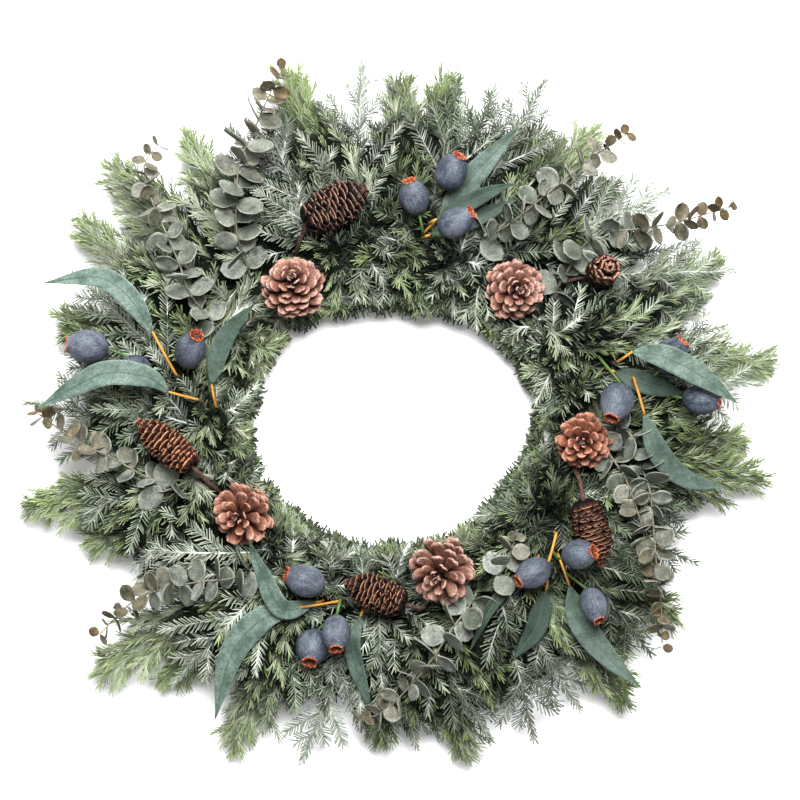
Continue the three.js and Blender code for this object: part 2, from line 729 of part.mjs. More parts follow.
const BERRIES = {
  a: {
    berry_a1: { at: [-242, 60, 58], axis: [-1, 0.1, 0.1] },
    berry_a2: { at: [-206, 41, 54], axis: [-0.5, -0.2, 0.5] },
    berry_a3: { at: [-160, 60, 66], axis: [0.3, 0.55, 0.75] },
  },
  b: {
    berry_b1: { at: [18, 178, 66], axis: [-0.25, 0.8, 0.4] },
    berry_b2: { at: [48, 200, 62], axis: [0.45, 0.75, 0.4] },
    berry_b3: { at: [49, 158, 68], axis: [0.8, 0.5, 0.35] },
  },
  c: {
    berry_c1: { at: [178, 17, 68], axis: [-0.3, -0.8, 0.5] },
    berry_c2: { at: [221, 52, 54], axis: [0.5, 0.6, 0.2] },
    berry_c3: { at: [247, 16, 51], axis: [0.95, -0.1, 0.2] },
  },
  d: {
    berry_d1: { at: [146, -104, 82], axis: [0.75, 0.15, 0.6] },
    berry_d2: { at: [109, -122, 68], axis: [-0.85, -0.4, 0.35] },
    berry_d3: { at: [159, -146, 66], axis: [0.3, -0.7, 0.6] },
  },
  e: {
    berry_e1: { at: [-70, -125, 66], axis: [-0.9, 0.4, 0.2] },
    berry_e2: { at: [-44, -166, 72], axis: [0, -0.75, 0.6] },
    berry_e3: { at: [-64, -180, 49], axis: [-0.1, -0.7, 0.7] },
  },
};

const PICKS = {
  a: {
    root: 177,
    leaves: [
      { base: [-191, 72, 64], via: [[-210, 100, 70], [-234, 115, 66]], tip: [-278, 111, 56], width: 18 },
      { base: [-178, 24, 66], via: [[-194, 36, 74], [-226, 39, 76], [-254, 27, 70]], tip: [-284, 10, 58], width: 20 },
      { base: [-145, 30, 48], via: [[-139, 56, 50], [-128, 76, 54]], tip: [-110, 94, 62], width: 16 },
    ],
  },
  b: {
    root: 83,
    leaves: [
      { base: [38, 165, 44], via: [[58, 190, 44], [76, 210, 48]], tip: [100, 235, 50], width: 19 },
      { base: [35, 162, 50], via: [[75, 182, 58]], tip: [98, 190, 62], width: 14 },
      { base: [30, 150, 44], via: [[66, 163, 46]], tip: [100, 178, 50], width: 16 },
    ],
  },
  c: {
    root: 17,
    leaves: [
      { base: [190, 56, 64], via: [[215, 52, 71], [245, 36, 71]], tip: [274, 15, 62], width: 20 },
      { base: [200, 6, 60], via: [[212, -25, 60], [235, -46, 56]], tip: [268, -52, 50], width: 18 },
      { base: [178, 40, 46], via: [[206, 30, 44]], tip: [236, 22, 34], width: 18 },
    ],
  },
  d: {
    root: -34,
    leaves: [
      { base: [141, -131, 50], via: [[150, -160, 48], [172, -188, 50]], tip: [198, -212, 50], width: 20 },
      { base: [122, -135, 46], via: [[114, -165, 46]], tip: [96, -190, 42], width: 18 },
      { base: [112, -112, 46], via: [[80, -146, 48]], tip: [60, -186, 46], width: 10 },
    ],
  },
  e: {
    root: -104,
    leaves: [
      { base: [-75, -146, 56], via: [[-105, -157, 60], [-129, -186, 58]], tip: [-142, -237, 50], width: 22 },
      { base: [-62, -144, 50], via: [[-88, -148, 64], [-104, -118, 72]], tip: [-114, -92, 79], width: 16 },
      { base: [-28, -153, 54], via: [[-33, -182, 54]], tip: [-17, -232, 44], width: 13 },
    ],
  },
};

const EUCALYPTUS = {
  eucalyptus_a: {
    root: [136, 30],
    branches: [{
      path: [[-124, 148, 52], [-124, 178, 62], [-122, 206, 62], [-110, 234, 58], [-98, 262, 54], [-84, 290, 48]],
      leafSize: 22,
    }],
    seed: 11,
  },
  eucalyptus_b: {
    root: [153, 50],
    branches: [{
      path: [[-160, 100, 56], [-170, 126, 60], [-182, 154, 60], [-194, 182, 56], [-198, 206, 52], [-184, 226, 48]],
      leafSize: 20,
    }],
    seed: 12,
  },
  eucalyptus_c: {
    root: [68, 40],
    branches: [{
      path: [[90, 156, 56], [118, 178, 64], [138, 194, 64], [158, 210, 58], [191, 233, 50]],
      leafSize: 21,
    }],
    seed: 13,
  },
  eucalyptus_d: {
    root: [36, 50],
    branches: [{
      path: [[150, 138, 56], [166, 150, 62], [198, 154, 62], [230, 160, 56], [274, 174, 48]],
      leafSize: 21,
    }],
    seed: 14,
  },
  eucalyptus_e: {
    root: [3, 50],
    branches: [{
      path: [[188, -8, 50], [196, -30, 46], [204, -54, 62], [207, -86, 64], [210, -118, 60], [214, -150, 54],
        [215, -182, 48]],
      leafSize: 23,
    }],
    seed: 65,
  },
  eucalyptus_f: {
    root: [-60, 62],
    branches: [
      {
        path: [[60, -148, 48], [46, -166, 58], [30, -190, 60], [10, -214, 58], [-10, -232, 54], [-34, -240, 50]],
        leafSize: 22,
      },
      { path: [[86, -120, 52], [94, -102, 58], [100, -84, 56]], leafSize: 19 },
    ],
    seed: 16,
  },
  eucalyptus_g: {
    root: [-132, 55],
    branches: [{
      path: [[-126, -124, 50], [-154, -127, 58], [-182, -133, 58], [-206, -142, 54], [-237, -172, 48]],
      leafSize: 22,
    }],
    seed: 17,
  },
  eucalyptus_h: {
    root: [-170, 38],
    branches: [{
      path: [[-176, -54, 42], [-196, -45, 44], [-222, -30, 48], [-254, -14, 50], [-290, 11, 46]],
      leafSize: 22,
    }],
    seed: 18,
  },
};

// root is a place round the ring in degrees; tips and inner are [degrees, distance from the ring's centre].
const BUNCHES = {
  spruce_a: { kind: 'spruce', root: 108, tips: [[92, 296], [103, 262]], inner: [[86, 100]], seed: 21 },
  spruce_b: { kind: 'spruce', root: 78, tips: [[73, 284], [65, 300]], inner: [[60, 100]], seed: 22 },
  spruce_c: { kind: 'spruce', root: 66, tips: [[40, 298], [52, 245]], inner: [[48, 100]], seed: 23 },
  spruce_d: { kind: 'spruce', root: 24, tips: [[16, 287], [6, 305]], inner: [[8, 116]], seed: 24 },
  spruce_e: { kind: 'spruce', root: -22, tips: [[-43, 287], [-30, 262]], inner: [[-52, 96]], seed: 25 },
  spruce_f: { kind: 'spruce', root: -50, tips: [[-68, 278], [-60, 258]], inner: [[-30, 108]], seed: 26 },
  spruce_g: { kind: 'spruce', root: -96, tips: [[-89, 266], [-106, 288]], inner: [[-82, 96]], seed: 27 },
  spruce_h: { kind: 'spruce', root: -122, tips: [[-126, 296], [-155, 255]], inner: [[-105, 106]], seed: 28 },
  spruce_i: { kind: 'spruce', root: -173, tips: [[175, 300], [157, 284]], inner: [[165, 114]], seed: 29 },
  cedar_a: { kind: 'cedar', root: 93, tips: [[88, 276], [80, 280]], seed: 41 },
  cedar_b: { kind: 'cedar', root: 60, tips: [[56, 292], [48, 272]], seed: 42 },
  cedar_c: { kind: 'cedar', root: 30, tips: [[26, 299], [9, 316]], seed: 43 },
  cedar_d: { kind: 'cedar', root: -8, tips: [[-3, 290], [-17, 292]], seed: 44 },
  cedar_e: { kind: 'cedar', root: -42, tips: [[-35, 284], [-50, 304]], seed: 45 },
  cedar_f: { kind: 'cedar', root: -76, tips: [[-78, 284], [-93, 266]], seed: 46 },
  cedar_g: { kind: 'cedar', root: -124, tips: [[-118, 300], [-142, 322]], seed: 47 },
  cedar_h: { kind: 'cedar', root: -163, tips: [[-169, 308], [-157, 276]], seed: 48 },
  cedar_i: { kind: 'cedar', root: 140, tips: [[138, 316], [126, 292]], seed: 49 },
  cedar_j: { kind: 'cedar', root: 166, tips: [[163, 294], [152, 285]], seed: 50 },
};

// ---------- materials ----------
const material = (colour, roughness) => new THREE.MeshStandardMaterial({ color: colour, roughness, metalness: 0 });
const LOOK = {
  vine: material(0x5b3f30, 0.85),
  cone: material(0x9c6a50, 0.8),
  dark_cone: material(0x7a4a30, 0.8),
  pick: material(0x5d7f6d, 0.6),
  berry: material(0x3b4660, 0.55),
  eucalyptus: material(0x8d9c85, 0.7),
  spruce: material(0x5e7a66, 0.75),
  cedar: material(0x86995a, 0.75),
};

// ---------- assembly ----------
const wreath = new THREE.Group();
const sprays = [];

function meshOf(name, solid, look) {
  const mesh = solid.simplify(SLIVER).getMesh();
  const geometry = new THREE.BufferGeometry();
  geometry.setAttribute('position', new THREE.BufferAttribute(new Float32Array(mesh.vertProperties), 3));
  geometry.setIndex(new THREE.BufferAttribute(new Uint32Array(mesh.triVerts), 1));
  const item = new THREE.Mesh(geometry, look);
  item.name = name;
  wreath.add(item);
}

for (const [name, spec] of Object.entries(ROUND_CONES)) meshOf(name, roundConePiece(name, spec), LOOK.cone);
for (const [name, spec] of Object.entries(LONG_CONES)) meshOf(name, longConePiece(name, spec), LOOK.dark_cone);
for (const group of Object.values(BERRIES)) {
  for (const [name, spec] of Object.entries(group)) meshOf(name, berryPiece(name, spec), LOOK.berry);
}
for (const [key, spec] of Object.entries(PICKS)) {
  const name = `berry_pick_${key}`;
  meshOf(name, pickPiece(name, { ...spec, berries: BERRIES[key] }), LOOK.pick);
}
for (const [name, spec] of Object.entries(EUCALYPTUS)) meshOf(name, eucalyptusPiece(name, spec), LOOK.eucalyptus);

const bunches = Object.entries(BUNCHES).map(([name, spec]) => [name, spec.kind, bunchPiece(name, spec)]);
for (const { name, index, curve, kind, isInner, random, solids } of sprays) {
  const stations = stationsFor(curve.getLength(), kind, isInner);
  solids.push(spray(name, index, curve, kind, stations, random));
}
for (const [name, kind, solids] of bunches) meshOf(name, join(solids), LOOK[kind]);

meshOf('vine_ring', vineRing().subtract(wasm.Manifold.union(sockets)), LOOK.vine);

// The origin goes to the middle of the underside of the whole wreath.
const box = new THREE.Box3().setFromObject(wreath);
wreath.position.set(-(box.min.x + box.max.x) / 2, -(box.min.y + box.max.y) / 2, -box.min.z);

export default wreath;
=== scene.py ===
import math

import bpy
import numpy as np
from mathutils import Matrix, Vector


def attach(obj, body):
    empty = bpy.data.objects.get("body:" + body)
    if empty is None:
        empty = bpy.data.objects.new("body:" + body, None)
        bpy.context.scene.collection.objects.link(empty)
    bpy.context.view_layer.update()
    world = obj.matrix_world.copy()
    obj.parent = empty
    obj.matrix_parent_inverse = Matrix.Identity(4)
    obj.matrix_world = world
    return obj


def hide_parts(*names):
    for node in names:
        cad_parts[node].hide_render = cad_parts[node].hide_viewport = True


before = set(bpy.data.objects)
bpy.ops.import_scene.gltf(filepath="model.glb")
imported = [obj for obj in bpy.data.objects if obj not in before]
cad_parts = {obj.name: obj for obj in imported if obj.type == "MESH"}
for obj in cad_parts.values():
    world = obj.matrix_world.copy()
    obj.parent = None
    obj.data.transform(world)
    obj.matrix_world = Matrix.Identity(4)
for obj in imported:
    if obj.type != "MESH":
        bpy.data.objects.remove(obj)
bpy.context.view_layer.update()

# ---------- frame: lengths below are millimetres from the centre of the vine ring ----------
SHIFT = np.array([-4.88, -9.01, 0.0])
METRES = 0.001
RING_RADIUS = 137.0
RING_HEIGHT = 12.0
UP = np.array([0.0, 0.0, 1.0])
GOLDEN = math.radians(137.508)


def unit(v):
    return v / np.maximum(np.linalg.norm(v, axis=-1, keepdims=True), 1e-9)


def polar(degrees, radius, z=0.0):
    a = math.radians(degrees)
    return np.array([radius * math.cos(a), radius * math.sin(a), z])


def ring_point(degrees, lean, out):
    """A point outside the ring's centreline: outward at lean 0, straight up at lean 90."""
    tilt = math.radians(lean)
    return polar(degrees, RING_RADIUS + out * math.cos(tilt), RING_HEIGHT + out * math.sin(tilt))


def resample(dense, count):
    s = np.r_[0, np.cumsum(np.linalg.norm(np.diff(dense, axis=0), axis=1))]
    at = np.linspace(0, s[-1], count)
    return np.stack([np.interp(at, s, dense[:, k]) for k in range(3)], 1)


def curve(points, count):
    """Evenly spaced points on a smooth line through the given ones."""
    p = np.asarray(points, float)
    p = np.vstack([2 * p[0] - p[1], p, 2 * p[-1] - p[-2]])
    t = np.linspace(0, 1, 24, endpoint=False)[:, None]
    spans = []
    for a, b, c, d in zip(p, p[1:], p[2:], p[3:]):
        spans.append(0.5 * (2 * b + (c - a) * t + (2 * a - 5 * b + 4 * c - d) * t ** 2
                            + (3 * b - a - 3 * c + d) * t ** 3))
    spans.append(p[-2][None])
    return resample(np.vstack(spans), count)


def length_of(path):
    return float(np.linalg.norm(np.diff(path, axis=0), axis=1).sum())


def frames(path):
    """Tangent, level side and top of a path at each of its points."""
    tangent = unit(np.gradient(path, axis=0))
    side = unit(np.cross(UP, tangent))
    return tangent, side, np.cross(tangent, side)


def axes_of(direction):
    """Two axes across a direction, and the direction itself."""
    w = unit(np.asarray(direction, float))
    u = unit(np.cross(UP, w)) if abs(w[2]) < 0.999 else np.array([1.0, 0, 0])
    return u, np.cross(w, u), w


def seed_of(name):
    return sum((i + 1) * ord(c) for i, c in enumerate(name))


# ---------- meshes ----------
class Body:
    """Points, faces and per-point looks of one piece."""

    def __init__(self):
        self.points, self.faces = [], {3: [], 4: []}
        self.looks = {"tone": [], "frost": [], "tip": []}
        self.local = []
        self.count = 0

    def add(self, points, faces, local=None, **looks):
        points = np.asarray(points, float).reshape(-1, 3)
        self.points.append(points)
        for array in faces:
            array = np.asarray(array, int)
            if len(array):
                self.faces[array.shape[1]].append(array + self.count)
        for name, store in self.looks.items():
            store.append(np.broadcast_to(np.ravel(looks.get(name, 0.0)).astype(float), len(points)))
        self.local.append(points if local is None else np.asarray(local, float).reshape(-1, 3))
        self.count += len(points)

    def build(self, name, material, smooth=True):
        points = (np.vstack(self.points) + SHIFT) * METRES
        tris, quads = (np.vstack(self.faces[k]) if self.faces[k] else np.zeros((0, k), int) for k in (3, 4))
        mesh = bpy.data.meshes.new(name)
        mesh.vertices.add(len(points))
        mesh.vertices.foreach_set("co", points.astype(np.float32).ravel())
        mesh.loops.add(tris.size + quads.size)
        mesh.loops.foreach_set("vertex_index", np.r_[tris.ravel(), quads.ravel()].astype(np.int32))
        mesh.polygons.add(len(tris) + len(quads))
        starts = np.r_[np.arange(len(tris)) * 3, tris.size + np.arange(len(quads)) * 4]
        mesh.polygons.foreach_set("loop_start", starts.astype(np.int32))
        mesh.polygons.foreach_set("use_smooth", np.full(len(starts), smooth))
        mesh.update(calc_edges=True)
        for key, store in self.looks.items():
            layer = mesh.attributes.new(key, "FLOAT", "POINT")
            layer.data.foreach_set("value", np.concatenate(store).astype(np.float32))
        layer = mesh.attributes.new("local", "FLOAT_VECTOR", "POINT")
        layer.data.foreach_set("vector", np.vstack(self.local).astype(np.float32).ravel())
        mesh.materials.append(material)
        piece = bpy.data.objects.new(name, mesh)
        bpy.context.scene.collection.objects.link(piece)
        return piece


def grid_faces(rows, columns, closed=False, loop=False):
    """Quads of a grid; closed joins its last column to its first, loop its last row to its first."""
    i, j = np.meshgrid(np.arange(rows if loop else rows - 1), np.arange(columns if closed else columns - 1),
                       indexing="ij")
    i, j = i.ravel(), j.ravel()
    k, m = (j + 1) % columns, (i + 1) % rows
    return np.stack([i * columns + j, i * columns + k, m * columns + k, m * columns + j], 1)


def end_caps(rows, sides):
    """Triangles that close a tube onto the two points that follow its rings."""
    first = np.arange(sides)
    last = first + (rows - 1) * sides
    centre = np.full(sides, rows * sides)
    return np.vstack([np.stack([np.roll(first, -1), first, centre], 1),
                      np.stack([last, np.roll(last, -1), centre + 1], 1)])


def circle(sides):
    return np.arange(sides) * 2 * math.pi / sides


def rings(path, side, top, a, radius):
    """Points of a ring round each point of a path."""
    rim = np.cos(a)[None, :, None] * side[:, None] + np.sin(a)[None, :, None] * top[:, None]
    return path[:, None] + rim * radius[:, None, None]


def tube(body, path, radius, sides=5, **looks):
    """A closed tube along a path; radius is a number or one for each point."""
    n = len(path)
    _, side, top = frames(path)
    a = circle(sides)
    points = rings(path, side, top, a, np.broadcast_to(np.asarray(radius, float), n)).reshape(-1, 3)
    steps = np.linspace(0, length_of(path), n)
    local = np.stack([np.repeat(steps, sides), np.tile(np.cos(a), n) * 3, np.tile(np.sin(a), n) * 3], 1)
    local = np.vstack([local, [steps[0], 0, 0], [steps[-1], 0, 0]])
    spread = {}
    for key, value in looks.items():
        value = np.broadcast_to(value, n)
        spread[key] = np.r_[np.repeat(value, sides), value[0], value[-1]]
    faces = [grid_faces(n, sides, True), end_caps(n, sides)]
    body.add(np.vstack([points, path[0], path[-1]]), faces, local, **spread)


def blade(body, spine, side, up, half, thick, bend, columns=5, **looks):
    """A thin closed leaf or scale round a spine. bend(u, v) lifts it along up; v runs from -1 to 1 across."""
    n = len(spine)
    size = n * columns
    u = np.linspace(0, 1, n)[:, None]
    v = np.linspace(-1, 1, columns)[None, :]
    half = np.broadcast_to(np.asarray(half, float), n)[:, None]
    thick = np.broadcast_to(thick(u, v) if callable(thick) else thick, (n, columns))
    lift = np.broadcast_to(bend(u, v), (n, columns))
    middle = spine[:, None] + side[:, None] * (half * v)[..., None] + up[:, None] * lift[..., None]
    offset = up[:, None] * (thick / 2)[..., None]
    points = np.concatenate([(middle + offset).reshape(-1, 3), (middle - offset).reshape(-1, 3)])
    rim = np.r_[np.arange(columns), np.arange(1, n) * columns + columns - 1,
                (n - 1) * columns + np.arange(columns - 2, -1, -1), np.arange(n - 2, 0, -1) * columns]
    ahead = np.roll(rim, -1)
    top, walls = grid_faces(n, columns), np.stack([rim, rim + size, ahead + size, ahead], 1)
    if np.dot(np.cross(spine[n // 2 + 1] - spine[n // 2 - 1], side[n // 2]), up[n // 2]) > 0:
        top, walls = top[:, ::-1], walls[:, ::-1]
    local = np.stack(np.broadcast_arrays(u * length_of(spine), half * v, v + 0 * u), -1).reshape(-1, 3)
    spread = {}
    for key, value in looks.items():
        value = value(u, v) if callable(value) else value
        spread[key] = np.tile(np.broadcast_to(value, (n, columns)).ravel(), 2)
    body.add(points, [top, top[:, ::-1] + size, walls], np.tile(local, (2, 1)), **spread)


def place(piece, slot, *nodes):
    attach(piece, "root")
    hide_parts(*nodes)
    return piece


# ---------- materials ----------
class Look:
    """A short way to write a node material."""

    def __init__(self, name):
        self.material = bpy.data.materials.new(name)
        self.material.use_nodes = True
        self.tree = self.material.node_tree
        self.shader = self.tree.nodes["Principled BSDF"]

    def node(self, kind, inputs=None, **settings):
        made = self.tree.nodes.new("ShaderNode" + kind)
        for key, value in settings.items():
            setattr(made, key, value)
        for key, value in (inputs or {}).items():
            self.put(made.inputs[key], value)
        return made

    def put(self, socket, value):
        if isinstance(value, bpy.types.NodeSocket):
            self.tree.links.new(value, socket)
        elif value is not None:
            is_colour = isinstance(value, tuple) and len(value) == 3 and socket.type == "RGBA"
            socket.default_value = (*value, 1.0) if is_colour else value

    def value(self, name):
        return self.node("Attribute", attribute_name=name).outputs["Fac"]

    def local(self, scale=(1, 1, 1)):
        vector = self.node("Attribute", attribute_name="local").outputs["Vector"]
        return self.node("Mapping", {"Vector": vector, "Scale": scale}).outputs["Vector"]

    def place(self):
        return self.node("TexCoord").outputs["Object"]

    def noise(self, vector, scale, detail=3.0, rough=0.5, warp=0.0):
        return self.node("TexNoise", {"Vector": vector, "Scale": scale, "Detail": detail, "Roughness": rough,
                                      "Distortion": warp}).outputs["Fac"]

    def ramp(self, value, *stops):
        made = self.node("ValToRGB", {"Fac": value})
        band = made.color_ramp
        while len(band.elements) < len(stops):
            band.elements.new(0.5)
        for element, (position, colour) in zip(band.elements, stops):
            element.position = position
            element.color = (*colour, 1.0) if isinstance(colour, tuple) else (colour, colour, colour, 1.0)
        return made.outputs["Color"]

    def mix(self, share, a, b, blend="MIX"):
        made = self.node("Mix", data_type="RGBA", blend_type=blend)
        for index, value in ((0, share), (6, a), (7, b)):
            self.put(made.inputs[index], value)
        return made.outputs[2]

    def shade(self, share, colour, value, *stops):
        """Multiplies a colour by a ramp over a value."""
        return self.mix(share, colour, self.ramp(value, *stops), "MULTIPLY")

    def math(self, operation, *values, clamp=False):
        made = self.node("Math", operation=operation, use_clamp=clamp)
        for socket, value in zip(made.inputs, values):
            self.put(socket, value)
        return made.outputs[0]

    def times(self, a, b, clamp=False):
        return self.math("MULTIPLY", a, b, clamp=clamp)

    def finish(self, colour, roughness, height=None, strength=0.3, distance=0.001, dim=0.78, **sockets):
        if dim < 1:
            colour = self.mix(1.0, colour, (dim, dim, dim), "MULTIPLY")
        self.put(self.shader.inputs["Base Color"], colour)
        self.put(self.shader.inputs["Roughness"], roughness)
        if height is not None:
            bump = self.node("Bump", {"Height": height, "Strength": strength, "Distance": distance})
            self.put(self.shader.inputs["Normal"], bump.outputs["Normal"])
        for key, value in sockets.items():
            self.put(self.shader.inputs[key.replace("_", " ")], value)
        return self.material


def needle_look(name, dark, light, bright, white):
    """tone runs from dark to light, tip turns a point bright green, frost dusts it; all three also carry the
    painted shade that takes deep needles to the near-black dark colour.
    """
    look = Look(name)
    patch = look.noise(look.place(), 28.0, 3.0)
    fine = look.noise(look.place(), 900.0, 2.0)
    tone = look.times(look.value("tone"), look.math("MULTIPLY_ADD", patch, 0.8, 0.6), clamp=True)
    colour = look.mix(tone, dark, light)
    colour = look.mix(look.value("tip"), colour, bright)
    dust = look.times(look.value("frost"), look.math("ADD", look.times(fine, 1.1), 0.4), clamp=True)
    colour = look.mix(dust, colour, white)
    return look.finish(colour, look.ramp(fine, (0.3, 0.5), (0.7, 0.72)), dim=1, Specular_IOR_Level=0.25)


def bark_look(name, dark, light):
    look = Look(name)
    grain = look.noise(look.local((0.12, 1.4, 1.4)), 1.0, 5.0, 0.6, 0.4)
    spots = look.noise(look.place(), 260.0, 4.0)
    colour = look.ramp(grain, (0.3, dark), (0.7, light))
    colour = look.mix(look.times(spots, 0.5), colour, tuple(c * 0.45 for c in dark))
    return look.finish(colour, look.ramp(grain, (0.2, 0.9), (0.8, 0.7)), grain, 0.6, 0.0008)


def cone_look(name, root, middle, face, lip, white, grey, warm, edge, blur):
    """tip runs along a scale from its foot, near black as painted shade between the scales, to its lip; tone
    turns it from greyish to warm, frost is pale dust.
    """
    look = Look(name)
    ridges = look.noise(look.local((0.16, 1.05, 0.2)), 1.0, 6.0, 0.7, 0.5)
    spots = look.noise(look.place(), 420.0, 4.0, 0.6)
    along = look.math("ADD", look.value("tip"), look.times(look.math("SUBTRACT", spots, 0.5), blur))
    # root and middle, the colours at the foot of a scale and on the core, are near black: painted shade
    # between the scales
    colour = look.ramp(along, (0.15, root), (0.45, middle), (edge, face), (0.985, lip))
    colour = look.shade(0.8, colour, ridges, (0.38, (0.30, 0.24, 0.21)), (0.50, (0.80, 0.74, 0.70)),
                        (0.62, (1.12, 1.1, 1.08)))
    patches = look.noise(look.place(), 160.0, 4.0, 0.65)
    colour = look.shade(0.75, colour, patches, (0.36, (0.62, 0.50, 0.44)), (0.60, (1.14, 1.18, 1.22)))
    colour = look.shade(1.0, colour, look.value("tone"), (0.0, grey), (1.0, warm))
    dust = look.times(look.value("frost"), look.ramp(spots, (0.35, 0.15), (0.65, 1.0)), clamp=True)
    colour = look.mix(dust, colour, white)
    return look.finish(colour, look.ramp(ridges, (0.2, 0.8), (0.8, 0.6)), ridges, 0.9, 0.0008,
                       Specular_IOR_Level=0.2)


def leaf_look():
    """tone turns a leaf from pale blue-green to dark green, tip and frost mark its orange or green stalk."""
    look = Look("willow_leaf")
    attribute = look.node("Attribute", attribute_name="local").outputs["Vector"]
    along, across, share = look.node("SeparateXYZ", {"Vector": attribute}).outputs
    off = look.math("ABSOLUTE", across)
    wobble = look.noise(look.local((0.06, 0.2, 0.0)), 1.0, 3.0)
    phase = look.math("SUBTRACT", look.math("ADD", along, look.times(wobble, 7.0)), look.times(off, 1.15))
    wave = look.math("SINE", look.times(phase, 1.75))
    veins = look.ramp(look.math("ADD", look.times(wave, 0.5), 0.5), (0.0, 1.0), (0.13, 0.0))
    midrib = look.ramp(off, (0.3, 1.0), (0.7, 0.0))
    cloud = look.noise(look.place(), 70.0, 4.0, 0.6)
    fine = look.noise(look.place(), 420.0, 4.0, 0.65)
    lines = look.math("MAXIMUM", look.times(veins, look.ramp(cloud, (0.35, 0.25), (0.6, 0.85))), midrib)
    pale = look.ramp(cloud, (0.34, (0.060, 0.104, 0.080)), (0.64, (0.203, 0.276, 0.240)))
    deep = look.ramp(cloud, (0.3, (0.010, 0.024, 0.015)), (0.7, (0.036, 0.064, 0.045)))
    colour = look.mix(look.value("tone"), pale, deep)
    colour = look.shade(0.8, colour, fine, (0.38, (0.50, 0.56, 0.50)), (0.58, (1.05, 1.05, 1.05)))
    vein = look.mix(look.value("tone"), (0.030, 0.065, 0.040), (0.045, 0.080, 0.050))
    colour = look.mix(look.times(lines, 0.68), colour, vein)
    rim = look.times(look.ramp(look.math("ABSOLUTE", share), (0.9, 0.0), (1.0, 0.4)),
                     look.math("SUBTRACT", 1.0, look.value("tone")))
    colour = look.mix(rim, colour, (0.36, 0.45, 0.39))
    orange = look.ramp(cloud, (0.3, (0.42, 0.15, 0.015)), (0.7, (0.70, 0.36, 0.06)))
    green = look.ramp(cloud, (0.3, (0.045, 0.10, 0.025)), (0.7, (0.13, 0.22, 0.06)))
    colour = look.mix(look.value("frost"), look.mix(look.value("tip"), colour, orange), green)
    return look.finish(colour, look.ramp(cloud, (0.3, 0.5), (0.7, 0.62)), lines, 0.3, 0.0006,
                       Specular_IOR_Level=0.28)


def berry_look():
    """tip marks the orange crown, frost its dark seeds; local is the place in the berry's own frame."""
    look = Look("blueberry")
    streaks = look.noise(look.local((0.55, 0.55, 0.10)), 1.0, 7.0, 0.7, 0.6)
    bloom = look.noise(look.local((0.075, 0.075, 0.06)), 1.0, 3.0, 0.55)
    grit = look.noise(look.local((0.9, 0.9, 0.6)), 1.0, 4.0, 0.6)
    colour = look.ramp(streaks, (0.36, (0.008, 0.011, 0.019)), (0.5, (0.028, 0.039, 0.062)),
                       (0.64, (0.115, 0.138, 0.182)))
    colour = look.mix(look.ramp(bloom, (0.46, 0.0), (0.66, 0.5)), colour, (0.19, 0.215, 0.265))
    colour = look.mix(look.times(look.value("tone"), 0.22), colour, (0.30, 0.33, 0.37))
    colour = look.shade(0.8, colour, grit, (0.38, (0.38, 0.38, 0.42)), (0.58, (1.0, 1.0, 1.0)))
    flesh = look.ramp(grit, (0.38, (0.07, 0.008, 0.005)), (0.5, (0.36, 0.055, 0.018)),
                      (0.60, (0.75, 0.25, 0.08)))
    colour = look.mix(look.value("tip"), colour, flesh)
    colour = look.mix(look.value("frost"), colour, (0.018, 0.004, 0.004))
    height = look.math("ADD", look.times(streaks, 0.5), look.times(grit, look.value("tip")))
    return look.finish(colour, look.ramp(streaks, (0.3, 0.45), (0.7, 0.7)), height, 0.5, 0.0007,
                       Specular_IOR_Level=0.25)


def round_leaf_look():
    """tone lightens a leaf, tip turns it from grey-green to ochre, frost pales its edge."""
    look = Look("eucalyptus_leaf")
    cloud = look.noise(look.place(), 120.0, 4.0, 0.6)
    fine = look.noise(look.place(), 600.0, 4.0, 0.6)
    green = look.ramp(cloud, (0.3, (0.030, 0.042, 0.028)), (0.7, (0.135, 0.158, 0.118)))
    pale = look.ramp(cloud, (0.3, (0.13, 0.145, 0.12)), (0.7, (0.40, 0.415, 0.36)))
    ochre = look.ramp(cloud, (0.3, (0.030, 0.020, 0.008)), (0.5, (0.12, 0.072, 0.018)),
                      (0.7, (0.23, 0.16, 0.062)))
    colour = look.mix(look.value("tip"), look.mix(look.value("tone"), green, pale), ochre)
    colour = look.shade(0.75, colour, fine, (0.38, (0.42, 0.44, 0.42)), (0.58, (1.0, 1.0, 1.0)))
    dust = look.times(look.value("frost"), look.ramp(fine, (0.35, 0.35), (0.65, 1.0)))
    colour = look.mix(dust, colour, (0.50, 0.52, 0.44))
    return look.finish(colour, look.ramp(cloud, (0.3, 0.55), (0.7, 0.75)), fine, 0.25, 0.0004)


LOOKS = {
    "spruce": needle_look("spruce_needles", (0.003, 0.006, 0.003), (0.178, 0.236, 0.150), (0.18, 0.26, 0.10),
                          (0.80, 0.83, 0.76)),
    "cedar": needle_look("cedar_sprays", (0.004, 0.007, 0.003), (0.178, 0.228, 0.113), (0.25, 0.34, 0.103),
                         (0.80, 0.83, 0.71)),
    "vine": bark_look("vine_bark", (0.022, 0.013, 0.009), (0.10, 0.066, 0.048)),
    "tan_cone": cone_look("tan_cone_scales", (0.008, 0.003, 0.002), (0.13, 0.050, 0.030),
                          (0.36, 0.200, 0.150), (0.56, 0.38, 0.31), (0.7, 0.64, 0.6), (1.07, 1.05, 1.09),
                          (1.0, 0.70, 0.54), 0.80, 0.22),
    "brown_cone": cone_look("brown_cone_scales", (0.003, 0.0015, 0.001), (0.008, 0.003, 0.0015),
                            (0.060, 0.022, 0.012), (0.60, 0.37, 0.25), (0.6, 0.5, 0.42), (0.80, 0.72, 0.78),
                            (1.0, 0.70, 0.44), 0.92, 0.04),
    "leaf": leaf_look(),
    "berry": berry_look(),
    "round_leaf": round_leaf_look(),
}
